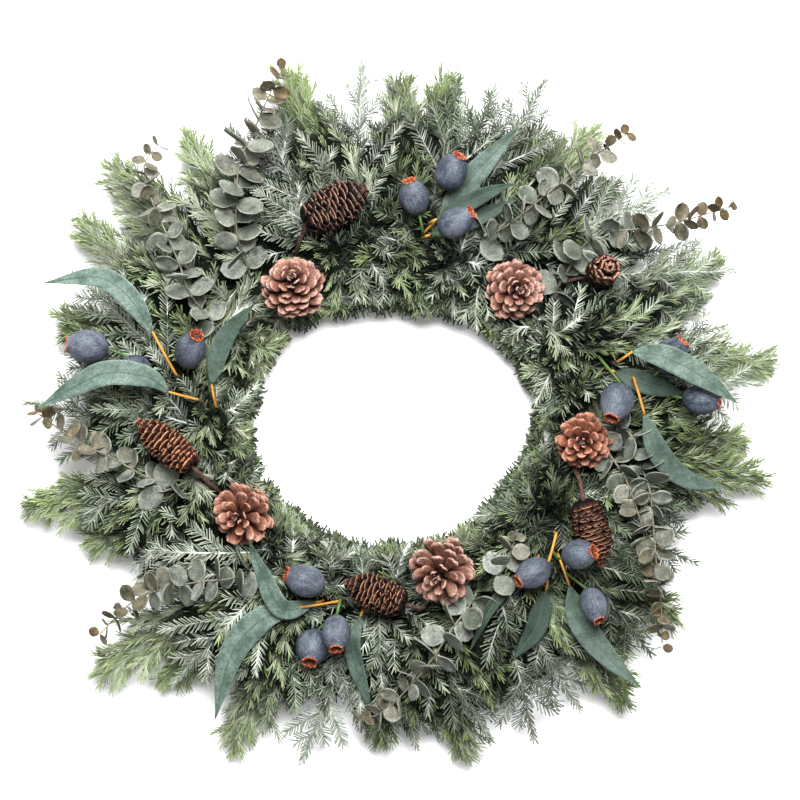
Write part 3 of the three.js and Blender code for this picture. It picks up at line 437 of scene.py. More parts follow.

# ---------- layout, as in the CAD model -----------
# centre, spread, axis, how warm the brown is, how far the inner scales stand open
ROUND_CONES = {
    "pine_cone_a": ((-80, 110), 55, (0, 0.34, 1), 0.20, 0.1),
    "pine_cone_b": ((98, 106), 51, (0.17, -0.06, 1), 0.12, 0.35),
    "pine_cone_c": ((152, -15), 47, (-0.1, -0.05, 1), 0.85, 0.7),
    "pine_cone_d": ((38, -120), 57, (-0.23, -0.25, 1), 0.15, 0.85),
    "pine_cone_e": ((-121, -74), 52, (-0.24, -0.05, 1), 0.65, 1.0),
}
# from, to, width, root (degrees, lean), middle of the stalk, rows of scales, how warm, power of tip along a
# scale: the higher, the darker its face; below CLOSED_BELOW the scales lie closed
LONG_CONES = {
    "long_cone_a": ((-69, 160, 60), (-20, 186, 64), 31, (121, 32), (-76, 141, 42), 15, 0.15, 4.2),
    "long_cone_b": ((163, 118, 44), (173, 124, 84), 23, (41, 20), (136, 112, 34), 7, 0.10, 0.5),
    "long_cone_c": ((152, -64, 56), (166, -115, 57), 26, (-13, 58), (149, -46, 45), 17, 0.75, 2.0),
    "long_cone_d": ((8, -145, 58), (-38, -127, 62), 27, (-80, 50), (22, -149, 45), 15, 0.95, 3.3),
    "long_cone_e": ((-160, -35, 58), (-204, 2, 62), 25, (-157, 45), (-146, -50, 44), 14, 0.80, 0.8),
}
# centre, axis, girth and length as shares of BERRY_OUTLINE
BERRIES = {
    "a": {"berry_a1": ((-242, 60, 58), (-1, 0.1, 0.1), 1.03, 1.08),
          "berry_a2": ((-206, 41, 54), (-0.5, -0.2, 0.5), 1.0, 1.0),
          "berry_a3": ((-161, 57, 64), (0.3, 0.6, 0.75), 0.96, 1.2)},
    "b": {"berry_b1": ((17, 178, 66), (-0.25, 0.8, 0.4), 0.92, 0.95),
          "berry_b2": ((46, 198, 62), (0.45, 0.75, 0.4), 0.98, 1.0),
          "berry_b3": ((49, 158, 68), (0.8, 0.5, 0.35), 0.95, 1.0)},
    "c": {"berry_c1": ((178, 17, 68), (-0.3, -0.8, 0.5), 1.03, 1.05),
          "berry_c2": ((221, 52, 54), (0.5, 0.6, 0.2), 1.0, 1.0),
          "berry_c3": ((245, 18, 51), (0.95, -0.1, 0.2), 0.95, 0.98)},
    "d": {"berry_d1": ((146, -104, 82), (0.75, 0.2, 0.6), 0.92, 0.95),
          "berry_d2": ((112, -119, 68), (-0.85, -0.5, 0.35), 0.95, 0.98),
          "berry_d3": ((159, -144, 66), (0.3, -0.75, 0.45), 0.85, 0.95)},
    "e": {"berry_e1": ((-69, -126, 66), (-0.9, 0.3, 0.2), 1.03, 1.06),
          "berry_e2": ((-45, -166, 72), (0, -0.75, 0.55), 0.92, 1.0),
          "berry_e3": ((-64, -179, 49), (-0.1, -0.7, 0.6), 1.06, 1.0)},
}
# where the stalks of a pick come up from between the needles: of its leaves, of its berries; None is straight
# behind the leaf or berry
STALK_STARTS = {
    "a": ([(-173, 38), (-156, 18), (-142, 12)], [(-196, 46), None, None]),
    "b": ([(24, 151), None, None], [(24, 151), None, None]),
    "c": ([(179, 48), (192, 35), None], [(164, 52), None, None]),
    "d": ([(132, -106), None, None], [None, (130, -89), (139, -121)]),
    "e": ([(-42, -143), None, (-23, -146)], [(-47, -136), (-42, -142), (-41, -150)]),
}
# the one berry stalk that is orange
ORANGE_START = (130, -89)
# root in degrees; leaves as base, further points, width, tone (0 pale, 1 dark)
PICKS = {
    "a": (177, [
        [(-191, 72, 64), (-210, 100, 70), (-234, 115, 66), (-278, 111, 56), 18, 0.0],
        [(-178, 24, 66), (-194, 36, 74), (-226, 39, 76), (-254, 27, 70), (-284, 10, 58), 20, 0.1],
        [(-145, 30, 48), (-139, 56, 50), (-128, 76, 54), (-110, 94, 62), 16, 0.7]]),
    "b": (83, [
        [(38, 165, 44), (58, 190, 44), (76, 210, 48), (100, 235, 50), 19, 0.35],
        [(35, 162, 50), (75, 182, 58), (98, 190, 62), 14, 0.9],
        [(30, 150, 44), (66, 163, 46), (100, 178, 50), 16, 0.95]]),
    "c": (17, [
        [(190, 56, 64), (215, 52, 71), (245, 36, 71), (274, 15, 62), 20, 0.25],
        [(200, 6, 60), (212, -25, 60), (235, -46, 56), (268, -52, 50), 18, 0.65],
        [(178, 40, 46), (206, 30, 44), (236, 22, 34), 18, 0.9]]),
    "d": (-34, [
        [(141, -131, 50), (150, -160, 48), (172, -188, 50), (198, -212, 50), 20, 0.55],
        [(122, -135, 46), (114, -165, 46), (96, -190, 42), 18, 1.0],
        [(112, -112, 46), (80, -146, 48), (60, -186, 46), 10, 1.0]]),
    "e": (-104, [
        [(-77, -148, 56), (-105, -157, 60), (-129, -186, 58), (-142, -237, 50), 22, 0.25],
        [(-62, -144, 50), (-88, -148, 64), (-104, -118, 72), (-114, -92, 79), 16, 0.3],
        [(-26, -155, 54), (-32, -183, 54), (-17, -232, 44), 13, 0.6]]),
}
# root (degrees, lean), seed, how brown the tip turns, then each branch's path and leaf size
EUCALYPTUS = {
    "eucalyptus_a": ((136, 30), 11, 1.0, [
        ([(-124, 148, 52), (-124, 178, 62), (-122, 206, 62), (-110, 234, 58), (-98, 262, 54),
          (-84, 290, 48)], 25)]),
    "eucalyptus_b": ((153, 50), 12, 0.6, [
        ([(-160, 100, 56), (-170, 126, 60), (-182, 154, 60), (-194, 182, 56), (-198, 206, 52),
          (-184, 226, 48)], 20)]),
    "eucalyptus_c": ((68, 40), 13, 1.0, [
        ([(90, 156, 56), (118, 178, 64), (138, 194, 64), (158, 210, 58), (191, 233, 50)], 21)]),
    "eucalyptus_d": ((36, 50), 14, 1.0, [
        ([(150, 138, 56), (166, 150, 62), (198, 154, 62), (230, 160, 56), (274, 174, 48)], 21)]),
    "eucalyptus_e": ((3, 50), 65, 0.8, [
        ([(188, -8, 50), (196, -30, 46), (204, -54, 62), (207, -86, 64), (210, -118, 60),
          (214, -150, 54), (215, -182, 48)], 21),
        ([(180, -36, 50), (188, -52, 58), (196, -76, 60), (202, -100, 58), (206, -118, 54)], 19)]),
    "eucalyptus_f": ((-60, 62), 16, 0.6, [
        ([(60, -148, 48), (46, -166, 58), (30, -190, 60), (10, -214, 58), (-10, -232, 54),
          (-34, -240, 50)], 22),
        ([(86, -120, 52), (94, -102, 58), (100, -84, 56)], 19)]),
    "eucalyptus_g": ((-132, 55), 17, 0.8, [
        ([(-126, -124, 50), (-154, -127, 58), (-182, -133, 58), (-206, -142, 54),
          (-237, -172, 48)], 22)]),
    "eucalyptus_h": ((-170, 38), 18, 1.0, [
        ([(-176, -54, 42), (-196, -45, 44), (-222, -30, 48), (-254, -14, 50), (-290, 11, 46)], 22)]),
}
# power of a leaf's random tone: above 1 most leaves are dark
LEAF_SHADE = {"eucalyptus_b": 0.8, "eucalyptus_e": 1.9, "eucalyptus_g": 2.2}
# root in degrees, outer and inner tips (degrees, radius), seed, mood: above 0 lighter, below 0 darker
SPRUCE = {
    "spruce_a": (108, [(95, 298), (113, 288), (119, 280)], [(86, 100)], 21, 0),
    "spruce_b": (78, [(79, 282), (66, 308), (73, 292)], [(60, 100)], 22, -0.1),
    "spruce_c": (66, [(40, 300), (52, 245), (32, 272), (24, 308)], [(48, 100)], 23, 0.1),
    "spruce_d": (24, [(16, 287), (6, 305)], [(8, 116), (10, 238), (20, 226)], 24, 1.3),
    "spruce_e": (-22, [(-25, 278), (-42, 288), (-16, 262)], [(-52, 96)], 25, -0.9),
    "spruce_f": (-50, [(-66, 288), (-57, 284)], [(-30, 108)], 26, -1.3),
    "spruce_g": (-96, [(-86, 270), (-105, 292), (-73, 276)], [(-82, 96)], 27, -0.2),
    "spruce_h": (-122, [(-130, 284), (-113, 280), (-155, 255)], [(-105, 106)], 28, 0.3),
    "spruce_i": (-173, [(177, 304), (168, 280), (197, 284), (155, 290)], [(165, 114)], 29, 0.1),
}
CEDAR = {
    "cedar_a": (95, [(88, 284), (81, 292), (107, 303)], [], 41, 0),
    "cedar_b": (60, [(56, 292), (48, 272)], [], 42, 0.3),
    "cedar_c": (30, [(26, 299), (9, 316)], [], 43, 0.6),
    "cedar_d": (-8, [(-3, 290), (-9, 312)], [], 44, -0.5),
    "cedar_e": (-42, [(-35, 284), (-50, 304)], [], 45, -1.2),
    "cedar_f": (-76, [(-78, 284), (-93, 266)], [], 46, -1.2),
    "cedar_g": (-124, [(-116, 300), (-139.5, 320), (-131, 290)], [], 47, 0.2),
    "cedar_h": (-163, [(-167, 312), (-158, 270)], [], 48, 0.3),
    "cedar_i": (140, [(138, 316), (126, 292)], [], 49, 0.4),
    "cedar_j": (166, [(163, 290), (147.5, 308)], [], 50, 0.3),
}


# ---------- what the needles keep clear of: x, y, radius and the height from which it counts ----------
KEEP = []


def keep(points, radius, drop=2.0):
    points = np.asarray(points, float).reshape(-1, 3)
    radius = np.broadcast_to(np.asarray(radius, float), len(points))
    KEEP.append(np.column_stack([points[:, 0], points[:, 1], radius, points[:, 2] - drop]))


# ---------- vine ring ----------
# the thick strands that the ring is made of: how many, turns, distance from the centreline, radius
THICK_VINES = (6, 3, 10.8, 5.9)
# the thin ones wound round them: how many, possible turns, distance from the centreline, radius
THIN_VINES = (5, [4, -3, 5], 15.2, 1.9)


def vine_ring():
    rng = np.random.default_rng(7)
    body = Body()
    a = np.linspace(0, 2 * math.pi, 181)[:-1]
    n = len(a)

    def strand(turns, phase, reach, radius, sides, wobble):
        """A closed vine that winds round the ring's centreline and lies flat where it meets the floor."""
        waves = sum(rng.normal(0, 1) * np.sin(k * a + rng.uniform(0, 6.28)) for k in (3, 5, 8, 13)) / 4
        twist = turns * a + phase + wobble * waves
        flat = RING_RADIUS + reach * np.cos(twist)
        z = np.maximum(radius + 0.2, RING_HEIGHT + 1.5 - reach * np.sin(twist))
        path = np.stack([flat * np.cos(a), flat * np.sin(a), z], 1)
        tangent = unit(np.roll(path, -1, 0) - np.roll(path, 1, 0))
        side = unit(np.cross(UP, tangent))
        b = circle(sides)
        knots = 1 + 0.1 * np.sin(a * rng.integers(18, 30) + rng.uniform(0, 6)) + rng.normal(0, 0.03, n)
        points = rings(path, side, np.cross(tangent, side), b, radius * knots)
        points[..., 2] = np.maximum(points[..., 2], 0.0)
        along = np.repeat(a * RING_RADIUS, sides)
        local = np.stack([along, np.tile(np.cos(b), n) * radius, np.tile(np.sin(b), n) * radius], 1)
        body.add(points, [grid_faces(n, sides, True, True)], local, tone=rng.uniform(0, 1))

    count, turns, reach, radius = THICK_VINES
    for k in range(count):
        strand(turns, k * 2 * math.pi / count, reach, radius, 9, 0.12)
    strand(0, 0.3, 1.0, 6.5, 8, 0.2)
    count, turns, reach, radius = THIN_VINES
    for _ in range(count):
        strand(rng.choice(turns), rng.uniform(0, 6.28), reach, radius, 6, 0.3)
    return place(body.build("vine_ring_bark", LOOKS["vine"]), "vine", "vine_ring")


# ---------- round pine cones ----------
# share of the way from base to top; reach, height and width of the scales there
CONE_REACH = np.array([(0.0, 25.5, 5.0, 10.2), (0.2, 27.0, 11.0, 10.6), (0.45, 25.0, 19.5, 10.6),
                       (0.65, 20.5, 27.5, 10.2), (0.82, 14.5, 34.0, 8.8), (0.94, 8.0, 38.5, 6.4),
                       (1.0, 3.2, 41.0, 4.0)])
CONE_SPREAD = 55.0
CONE_CORE = np.array([7, 8.5, 8, 7, 5.5, 4.5, 3.2, 2.2, 0.8])
# half width of a scale from its root to its lip
ROUND_SCALE = np.array([0.34, 0.44, 0.60, 0.82, 1.0, 1.08, 0.92, 0.48])
OPEN_SCALE = np.array([0.35, 0.6, 0.85, 1.0, 0.98, 0.70])
CLOSED_SCALE = np.array([0.35, 0.6, 0.9, 1.0, 0.86, 0.42])


def cone_scale(body, points, across, axis, half, thick, bend, **looks):
    """A scale of a cone along the curve through its points, with its upper face towards the cone's top."""
    n = len(half)
    spine = curve(points, n)
    tangent, _, _ = frames(spine)
    across = np.tile(across, (n, 1))
    up = unit(np.cross(tangent, across))
    up = up * np.where((up @ axis) < 0, -1, 1)[:, None]
    blade(body, spine, across, up, half, thick, bend, 5, **looks)


def round_cone(name, centre, spread, axis, warm, open_up):
    rng = np.random.default_rng(seed_of(name))
    size = spread / CONE_SPREAD
    u, v, w = axes_of(axis)
    middle = np.array([*centre, 36 + 20 * size])
    base = middle - w * 20 * size
    body = Body()
    count = int(62 - 18 * open_up)
    for i in range(count):
        t = i / (count - 1)
        inner = open_up * min(1.0, max(0.0, (t - 0.25) / 0.35))
        reach, height, width = (np.interp(t, CONE_REACH[:, 0], CONE_REACH[:, k]) for k in (1, 2, 3))
        reach *= rng.uniform(0.88, 1.05) * (1 + 0.12 * inner)
        height += rng.uniform(-1.4, 1.4) - 2.5 * inner * (1 - t)
        width *= (0.98 - 0.04 * inner) * rng.uniform(0.80, 1.12)
        angle = i * GOLDEN + rng.normal(0, 0.16)
        out = u * math.cos(angle) + v * math.sin(angle)
        root = base + (out * 5.0 * (1 - 0.6 * t) + w * (height - 9.5 - 3 * inner + 4 * t)) * size
        tip = base + (out * reach + w * height) * size
        bulge = root + (tip - root) * 0.55 - w * 2.0 * size
        cup = rng.uniform(-0.6, 1.5) * size
        skew = rng.uniform(-0.5, 0.5) * size
        light = rng.uniform(-0.12, 0.05)
        ragged = rng.uniform(0, 6.28)

        def thick(a, b):
            return (0.9 + 0.5 * np.clip((a - 0.7) / 0.3, 0, 1) * (1 - 0.5 * b ** 2)) * size

        def bend(a, b):
            return cup * (b ** 2) * a + 0.7 * size * np.exp(-(b / 0.35) ** 2) * a + skew * b * a

        def towards_lip(a, b):
            rim = 0.04 * np.sin(b * 5 + ragged) + 0.07 * np.abs(b) ** 3
            return a ** (1 - 0.3 * inner) * (1.0 + light) + rim * a

        cone_scale(body, [root, bulge, tip], np.cross(w, out), w, width * size / 2 * ROUND_SCALE, thick, bend,
                   tone=np.clip(warm + rng.normal(0, 0.12), 0, 1), tip=towards_lip,
                   frost=lambda a, b: np.clip((a - 0.9) * 1.2, 0, 0.06) + 0 * b)
    core = np.array([base + w * h * size for h in np.linspace(0, 33, 9)])
    tube(body, core, CONE_CORE * size, 10, tone=0.3, tip=0.02)
    for i in range(11):
        angle = i * GOLDEN
        out = (u * math.cos(angle) + v * math.sin(angle)) * rng.uniform(0.6, 3.4)
        start = base + (w * 34 + out * 0.4) * size
        tube(body, np.array([start, start + (out * 0.9 + w * rng.uniform(4, 8)) * size]),
             np.array([0.9, 0.35]) * size, 4, tone=0.2, tip=rng.uniform(0.4, 0.8), frost=rng.uniform(0, 0.5))
    degrees = math.degrees(math.atan2(base[1], base[0]))
    foot = polar(degrees, RING_RADIUS, RING_HEIGHT + 6)
    tube(body, resample(np.array([foot, base + w * 5 * size]), 5), 3.0, 7, tone=0.4, tip=0.35)
    keep(middle + w * 4, 0.47 * spread, 26)
    return place(body.build(name + "_scales", LOOKS["tan_cone"]), "cone", name)


# ---------- long cones ----------
CLOSED_BELOW = 0.6


def long_cone(name, start, end, width, root, via, rows, warm, power):
    rng = np.random.default_rng(seed_of(name))
    start, end = np.array(start, float), np.array(end, float)
    length = np.linalg.norm(end - start)
    u, v, w = axes_of(end - start)
    closed = power < CLOSED_BELOW
    ringed = 7 if closed else 8
    body = Body()

    def girth(t):
        return width / 2 * np.sqrt(np.maximum(0.12, np.sin(np.pi * np.minimum(1, 0.16 + 0.76 * t))))

    def thick(a, b):
        return 0.8 + 1.0 * a * (1 - 0.6 * b ** 2) if closed else 0.75 - 0.15 * a + 0 * b

    for i in range(rows * ringed):
        row, k = divmod(i, ringed)
        t = (row + 0.5 + 0.35 * math.sin(k * math.pi / 4 + row * 0.5)) / rows
        angle = (k + 0.5 * (row % 2) + 0.07 * row) / ringed * 2 * math.pi + rng.normal(0, 0.07)
        out = u * math.cos(angle) + v * math.sin(angle)
        radius = girth(t) * rng.uniform(0.94, 1.04)
        along = length * (0.02 + 0.91 * t) + rng.normal(0, 0.35)
        t = min(max(t, 0.02), 1.0)
        rise = math.radians(16 + 64 * max(0.0, (t - 0.72) / 0.28) ** 1.5)
        reach = radius * (1 - 0.92 * max(0.0, (t - 0.76) / 0.24))
        foot = start + out * min(radius * 0.30, reach) + w * (along - 4.2)
        tip = start + out * reach + w * (along + 0.6 + radius * 0.5 * math.sin(rise))
        middle = (foot + tip) / 2 - w * 0.8 + out * radius * 0.07
        if closed:
            foot, middle = foot + w * 1.5, start + out * reach + w * (along - 1.5)
            tip = start + out * reach * 0.84 + w * (along + 3.4 * (1 - 0.6 * t))
        wide = max(3.0, 2 * math.pi * radius / ringed * (1.15 if closed else 1.45))
        droop = rng.uniform(0.05, 0.12) * wide
        shift = rng.normal(0, 0.012)
        if closed:
            shift -= 0.05
        face = power * (0.6 if t < 0.14 or t > 0.85 else 1.0)
        cone_scale(body, [foot, middle, tip], np.cross(w, out), w,
                   wide / 2 * (CLOSED_SCALE if closed else OPEN_SCALE), thick,
                   lambda a, b: -droop * (b ** 2) * a, tone=np.clip(warm + rng.normal(0, 0.15), 0, 1),
                   tip=lambda a, b: a ** face + shift + (0.12 * np.abs(b) ** 4 if closed else 0.0) * a,
                   frost=lambda a, b: np.clip((a - 0.8) * 0.6, 0, 0.10) + 0 * b)
    core = np.array([start + w * length * t for t in np.linspace(0.0, 0.93, 9)])
    thickness = np.array([girth(t) * 0.5 for t in np.linspace(0, 1, 9)])
    tube(body, core, thickness * np.r_[0.6, np.ones(6), 0.6, 0.2], 9, tone=0.1, tip=0.02)
    hub = ring_point(*root, 18)
    stalk = curve([hub, np.array(via, float), start + w * 2], 14)
    tube(body, stalk, 1.9 + 0.25 * np.sin(np.arange(14) * 1.9), 8, tone=0.9, tip=0.86, frost=0.15)
    keep(start + (end - start) * np.linspace(0.08, 0.95, 7)[:, None], width / 2 * 1.02, 8)
    keep(stalk[5:], 3.4)
    return place(body.build(name + "_scales", LOOKS["brown_cone"]), "dark_cone", name)


# ---------- berries ----------
# radius and height of the skin
BERRY_OUTLINE = [(1.2, -14.8), (3.2, -14.3), (6.6, -12.6), (9.8, -9.6), (11.9, -5.4), (12.9, -0.6),
                 (12.7, 3.6), (11.5, 7.4), (9.7, 10.6), (7.9, 13.0), (6.5, 14.6), (5.9, 15.6)]
# radius, height, how orange and how dark the crown is there
BERRY_CROWN = [(6.2, 16.2, 1, 0), (6.0, 16.9, 1, 0), (5.3, 16.9, 1, 0.1), (4.6, 16.0, 1, 0.35),
               (4.2, 14.6, 0.9, 0.7), (3.4, 13.4, 0.6, 0.85), (1.8, 12.8, 0.5, 0.9), (0.5, 12.9, 0.5, 0.9)]
BERRY_FOOT, BERRY_FLOOR = -15.0, 12.9
SEEDS = 13


def berry(name, centre, axis, girth, stretch):
    rng = np.random.default_rng(seed_of(name))
    centre = np.array(centre, float)
    u, v, w = axes_of(axis)
    body = Body()
    sides = 32
    a = circle(sides)
    outline_points = resample(np.array([(r, h, 0.0) for r, h in BERRY_OUTLINE]), 22)[:, :2]
    wave = sum(rng.uniform(0.5, 1) * np.sin(k * a + rng.uniform(0, 6.28)) for k in (5, 9, 14))
    ragged = wave / 2.2 + rng.normal(0, 0.5, sides)
    rows = [(r, h, 0.0, 0.0) for r, h in outline_points] + BERRY_CROWN
    rim, tips, seeds = [], [], []
    lumps = 1 + 0.022 * np.sin(2 * a + rng.uniform(0, 6)) + 0.012 * np.sin(5 * a + rng.uniform(0, 6))
    swing = rng.uniform(-0.05, 0.05, 2)
    for radius, along, flesh, seed in rows:
        rough = 1 + 0.10 * ragged * flesh * (radius > 3.8)
        lift = 0.7 * ragged * flesh * (radius > 4.0)
        reach = radius * girth * lumps * rough
        drift = (u * swing[0] + v * swing[1]) * max(0.0, along)
        rim.append(centre + drift + w * ((along + lift) * stretch)[:, None]
                   + u * (reach * np.cos(a))[:, None] + v * (reach * np.sin(a))[:, None])
        tips.append(np.full(sides, float(flesh)))
        seeds.append(np.clip(seed + 0.15 * ragged * flesh, 0, 1))
    points = np.vstack(rim)
    n = len(rows)
    local = np.column_stack([(points - centre) @ u, (points - centre) @ v, (points - centre) @ w])
    top = (u * swing[0] + v * swing[1]) * BERRY_FLOOR
    ends = np.array([centre + w * BERRY_FOOT * stretch, centre + top + w * BERRY_FLOOR * stretch])
    body.add(np.vstack([points, ends]), [grid_faces(n, sides, True), end_caps(n, sides)],
             np.vstack([local, [0, 0, BERRY_FOOT], [0, 0, BERRY_FLOOR]]) + rng.uniform(-50, 50, 3),
             tip=np.r_[np.concatenate(tips), 0, 0.5], frost=np.r_[np.concatenate(seeds), 0, 0.9],
             tone=rng.uniform(0, 1))
    for i in range(SEEDS):
        angle, out = i * GOLDEN, (0.5 + 4.3 * math.sqrt(i / SEEDS)) * girth
        foot = centre + top + w * 12.6 * stretch + (u * math.cos(angle) + v * math.sin(angle)) * out
        tall = rng.uniform(1.2, 2.6) + 0.25 * out
        tube(body, np.array([foot, foot + w * tall * 0.7, foot + w * tall]), np.array([0.65, 0.55, 0.15]), 5,
             tip=1.0, frost=rng.choice([0.0, 0.2, 0.7]))
    keep(centre, 13.6 * girth, 3)
    return place(body.build(name + "_skin", LOOKS["berry"]), "berry", name)


# ---------- berry picks ----------
# share of the length, half width of a leaf there
LEAF_HALF = np.array([(0, 0.10), (0.05, 0.36), (0.12, 0.66), (0.22, 0.90), (0.34, 1.0), (0.5, 0.97),
                      (0.66, 0.78), (0.8, 0.50), (0.92, 0.20), (1.0, 0.03)])
LEAF_ROWS = 34
STALK_ROWS = 14
ORANGE = 0.95


def stalk_path(hub, start, end, behind):
    """From the hub low between the needles, up to where the stalk shows, then to its end."""
    shows = end + behind * 7 if start is None else np.array([*start, end[2] - 3])
    low = np.array([*((hub + shows) / 2)[:2], min(hub[2], shows[2]) - 8])
    below = shows * 0.94 + hub * 0.06
    below[2] = max(shows[2] - 22, 14)
    buried = curve([hub, low, below, shows - [0, 0, 5]], STALK_ROWS)
    shown = curve([shows - [0, 0, 5], (shows + end) / 2 + [0, 0, 1.5], end], 8)
    return np.vstack([buried[:-1], shown]), len(buried) - 1


def pick(key):
    name = f"berry_pick_{key}"
    rng = np.random.default_rng(seed_of(name))
    root, leaves = PICKS[key]
    leaf_starts, berry_starts = STALK_STARTS[key]
    hub = ring_point(root, 80, 16)
    body = Body()
    for (spot, axis, _, stretch), start in zip(BERRIES[key].values(), berry_starts):
        centre, w = np.array(spot, float), unit(np.array(axis, float))
        path, shown = stalk_path(hub, start, centre - w * 14 * stretch, -w)
        colour = {"tip": ORANGE} if start == ORANGE_START else {"frost": 1.0}
        tube(body, path, np.linspace(1.4, 1.1, len(path)), 6, **colour)
        keep(path[shown:], 2.4)
    for (*points, width, tone), start in zip(leaves, leaf_starts):
        points = np.array(points, float)
        path, shown = stalk_path(hub, start, points[0], unit(points[0] - points[1]))
        tube(body, path, np.linspace(1.4, 1.0, len(path)), 6, tip=ORANGE)
        keep(path[shown:], 2.6)
        spine = curve(points, LEAF_ROWS)
        _, side, top = frames(spine)
        half = np.interp(np.linspace(0, 1, LEAF_ROWS), LEAF_HALF[:, 0], LEAF_HALF[:, 1]) * width / 2
        fold, curl, phase = rng.uniform(0.9, 1.5), rng.uniform(-0.5, 0.5), rng.uniform(0, 6)
        shape = (half / (width / 2))[:, None]

        def bend(a, b):
            ripple = 0.5 * np.sin(9 * a + phase) * b * shape
            return (fold * np.abs(b) - 0.45 * fold) * shape + ripple + curl * b * a * 2

        blade(body, spine, side, top, half, 0.7, bend, 11, tone=tone)
        keep(spine[1:-1], half[1:-1] * 0.9 + 0.6, 2.5)
    return place(body.build(name + "_leaves", LOOKS["leaf"]), "leaf", name)


# ---------- eucalyptus ----------
ROUND_LEAF_ROWS = 8
STEM_ROWS = 90
TIP_LEAF = 8


def round_leaf(body, foot, outward, normal, size, rng, ochre, tone):
    across = np.cross(normal, outward)
    t = np.linspace(0, 1, ROUND_LEAF_ROWS)
    rise = rng.uniform(-0.05, 0.22)
    spine = foot + outward * (t * size)[:, None] + normal * (rise * size * t ** 2)[:, None]
    disc = np.sqrt(np.clip(1 - (2 * t - 0.94) ** 2 * 0.985, 0.004, 1))
    half = size * 0.45 * disc * np.where(t < 0.2, 0.85, 1.0)
    cup, wave = rng.uniform(-0.04, 0.16) * size, rng.uniform(-0.9, 0.9)

    def pale_edge(a, b):
        return np.clip((np.maximum(np.abs(b), np.abs(2 * a - 1)) - 0.88) * 5, 0, 0.45) * (1 - 0.8 * ochre)

    sides, tops = (np.tile(axis, (ROUND_LEAF_ROWS, 1)) for axis in (across, normal))
    blade(body, spine, sides, tops, half, 0.5, lambda a, b: cup * b ** 2 + wave * b * a, 7,
          tone=tone, tip=ochre, frost=pale_edge)


def eucalyptus(name):
    root, seed, brown, branches = EUCALYPTUS[name]
    shade = LEAF_SHADE.get(name, 1.3)
    rng = np.random.default_rng(seed)
    hub = ring_point(*root, 20)
    body = Body()
    for path, leaf_size in branches:
        line = curve([hub, *path], STEM_ROWS)
        total = length_of(line)
        tube(body, line[::3], np.linspace(1.1, 0.45, 30), 6, tip=np.linspace(0.3, 0.9 * brown, 30), frost=0.1,
             tone=0.4)
        keep(line[20::4], 1.6, 1)
        tangent, side, top = frames(line)
        along, pair = 22.0, 0
        while along < total - 1:
            t = along / total
            i = min(STEM_ROWS - 1, int(round(t * (STEM_ROWS - 1))))
            size = (leaf_size + (TIP_LEAF - leaf_size) * t ** 2.6) * rng.uniform(0.82, 1.12)
            on_edge = pair % 2 == 0
            roll = math.radians((0 if on_edge else 55) + rng.uniform(-24, 24))
            for sign in (1, -1):
                out = sign * (side[i] * math.cos(roll) + top[i] * math.sin(roll) * (1 if sign > 0 else 0.75))
                lean = unit(out + tangent[i] * rng.uniform(-0.1, 0.55) + rng.normal(0, 0.16, 3))
                look_up = rng.uniform(0.14, 0.6) if on_edge else rng.uniform(0.35, 0.95)
                facing = UP * look_up + tangent[i] * (1 - look_up) * rng.choice([1.0, 1.0, -0.7]) \
                    + rng.normal(0, 0.15, 3)
                normal = unit(facing - lean * (facing @ lean))
                ochre = np.clip(brown * ((t - 0.50) * 2.2 + rng.uniform(-0.3, 0.3)), 0, 1)
                round_leaf(body, line[i] + lean * 0.6, lean, normal, size, rng, ochre,
                           rng.uniform(0, 1) ** shade)
                keep(line[i] + lean * size * 0.5, size * (0.22 + 0.2 * abs(normal[2])), 1)
            along += 16 + (8 - 16) * t
            pair += 1
    return place(body.build(name + "_leaves", LOOKS["round_leaf"]), "eucalyptus", name)


# ---------- needle sprays ----------
# radius of the open middle every 15 degrees, and the box no needle may leave
HOLE = np.array([117, 115, 109, 105, 98, 91, 89, 93, 98, 108, 112, 111, 116, 117, 110, 107, 106, 103, 99,
                 101, 104, 103, 103, 110.0])
LIMIT = (308.0, 287.5)
BATCH = 4000
# needles: spacing, degrees from the twig, length, width, share of them at each side, on top and below
NEEDLES = {
    "spruce stem": (2.2, 45, 9.6, 1.45, (1, 1, 0.45, 0)),
    "spruce twig": (2.35, 47, 9.6, 1.4, (1, 1, 0.45, 0)),
    "cedar stem": (3.2, 16, 12.5, 1.35, (1, 1, 0.4, 0)),
    "cedar twig": (3.2, 16, 12.0, 1.3, (1, 1, 0.4, 0)),
    "cedar spur": (2.9, 18, 9.6, 1.25, (1, 1, 0.35, 0)),
    "plain twig": (1.5, 48, 10.5, 1.5, (1, 1, 0.6, 0)),
    "under stem": (3.2, 46, 13, 2.6, (1, 1, 0.5, 0.3)),
    "under twig": (3.4, 46, 12, 2.6, (1, 1, 0.4, 0)),
}
# side twigs: degrees from the stem, spread of their lengths, tilt, droop
SIDE_TWIGS = {
    "spruce": ((34, 46), (0.78, 1.12), (-0.12, 0.20), (0, 5)),
    "cedar": ((11, 26), (0.72, 1.15), (-0.14, 0.26), (-1, 4)),
}
# the corners of a needle: two at its foot, two at its tip
NEEDLE_FACES = np.array([[0, 1, 2], [1, 0, 3], [2, 3, 0], [3, 2, 1]])
NEEDLE_FROST = np.array([1, 1, 0.2, 0.2])
NEEDLE_TIP = np.array([0.4, 0.4, 1.0, 1.0])


def hole_at(degrees):
    return np.interp(np.asarray(degrees) % 360, np.arange(25) * 15, np.r_[HOLE, HOLE[0]])


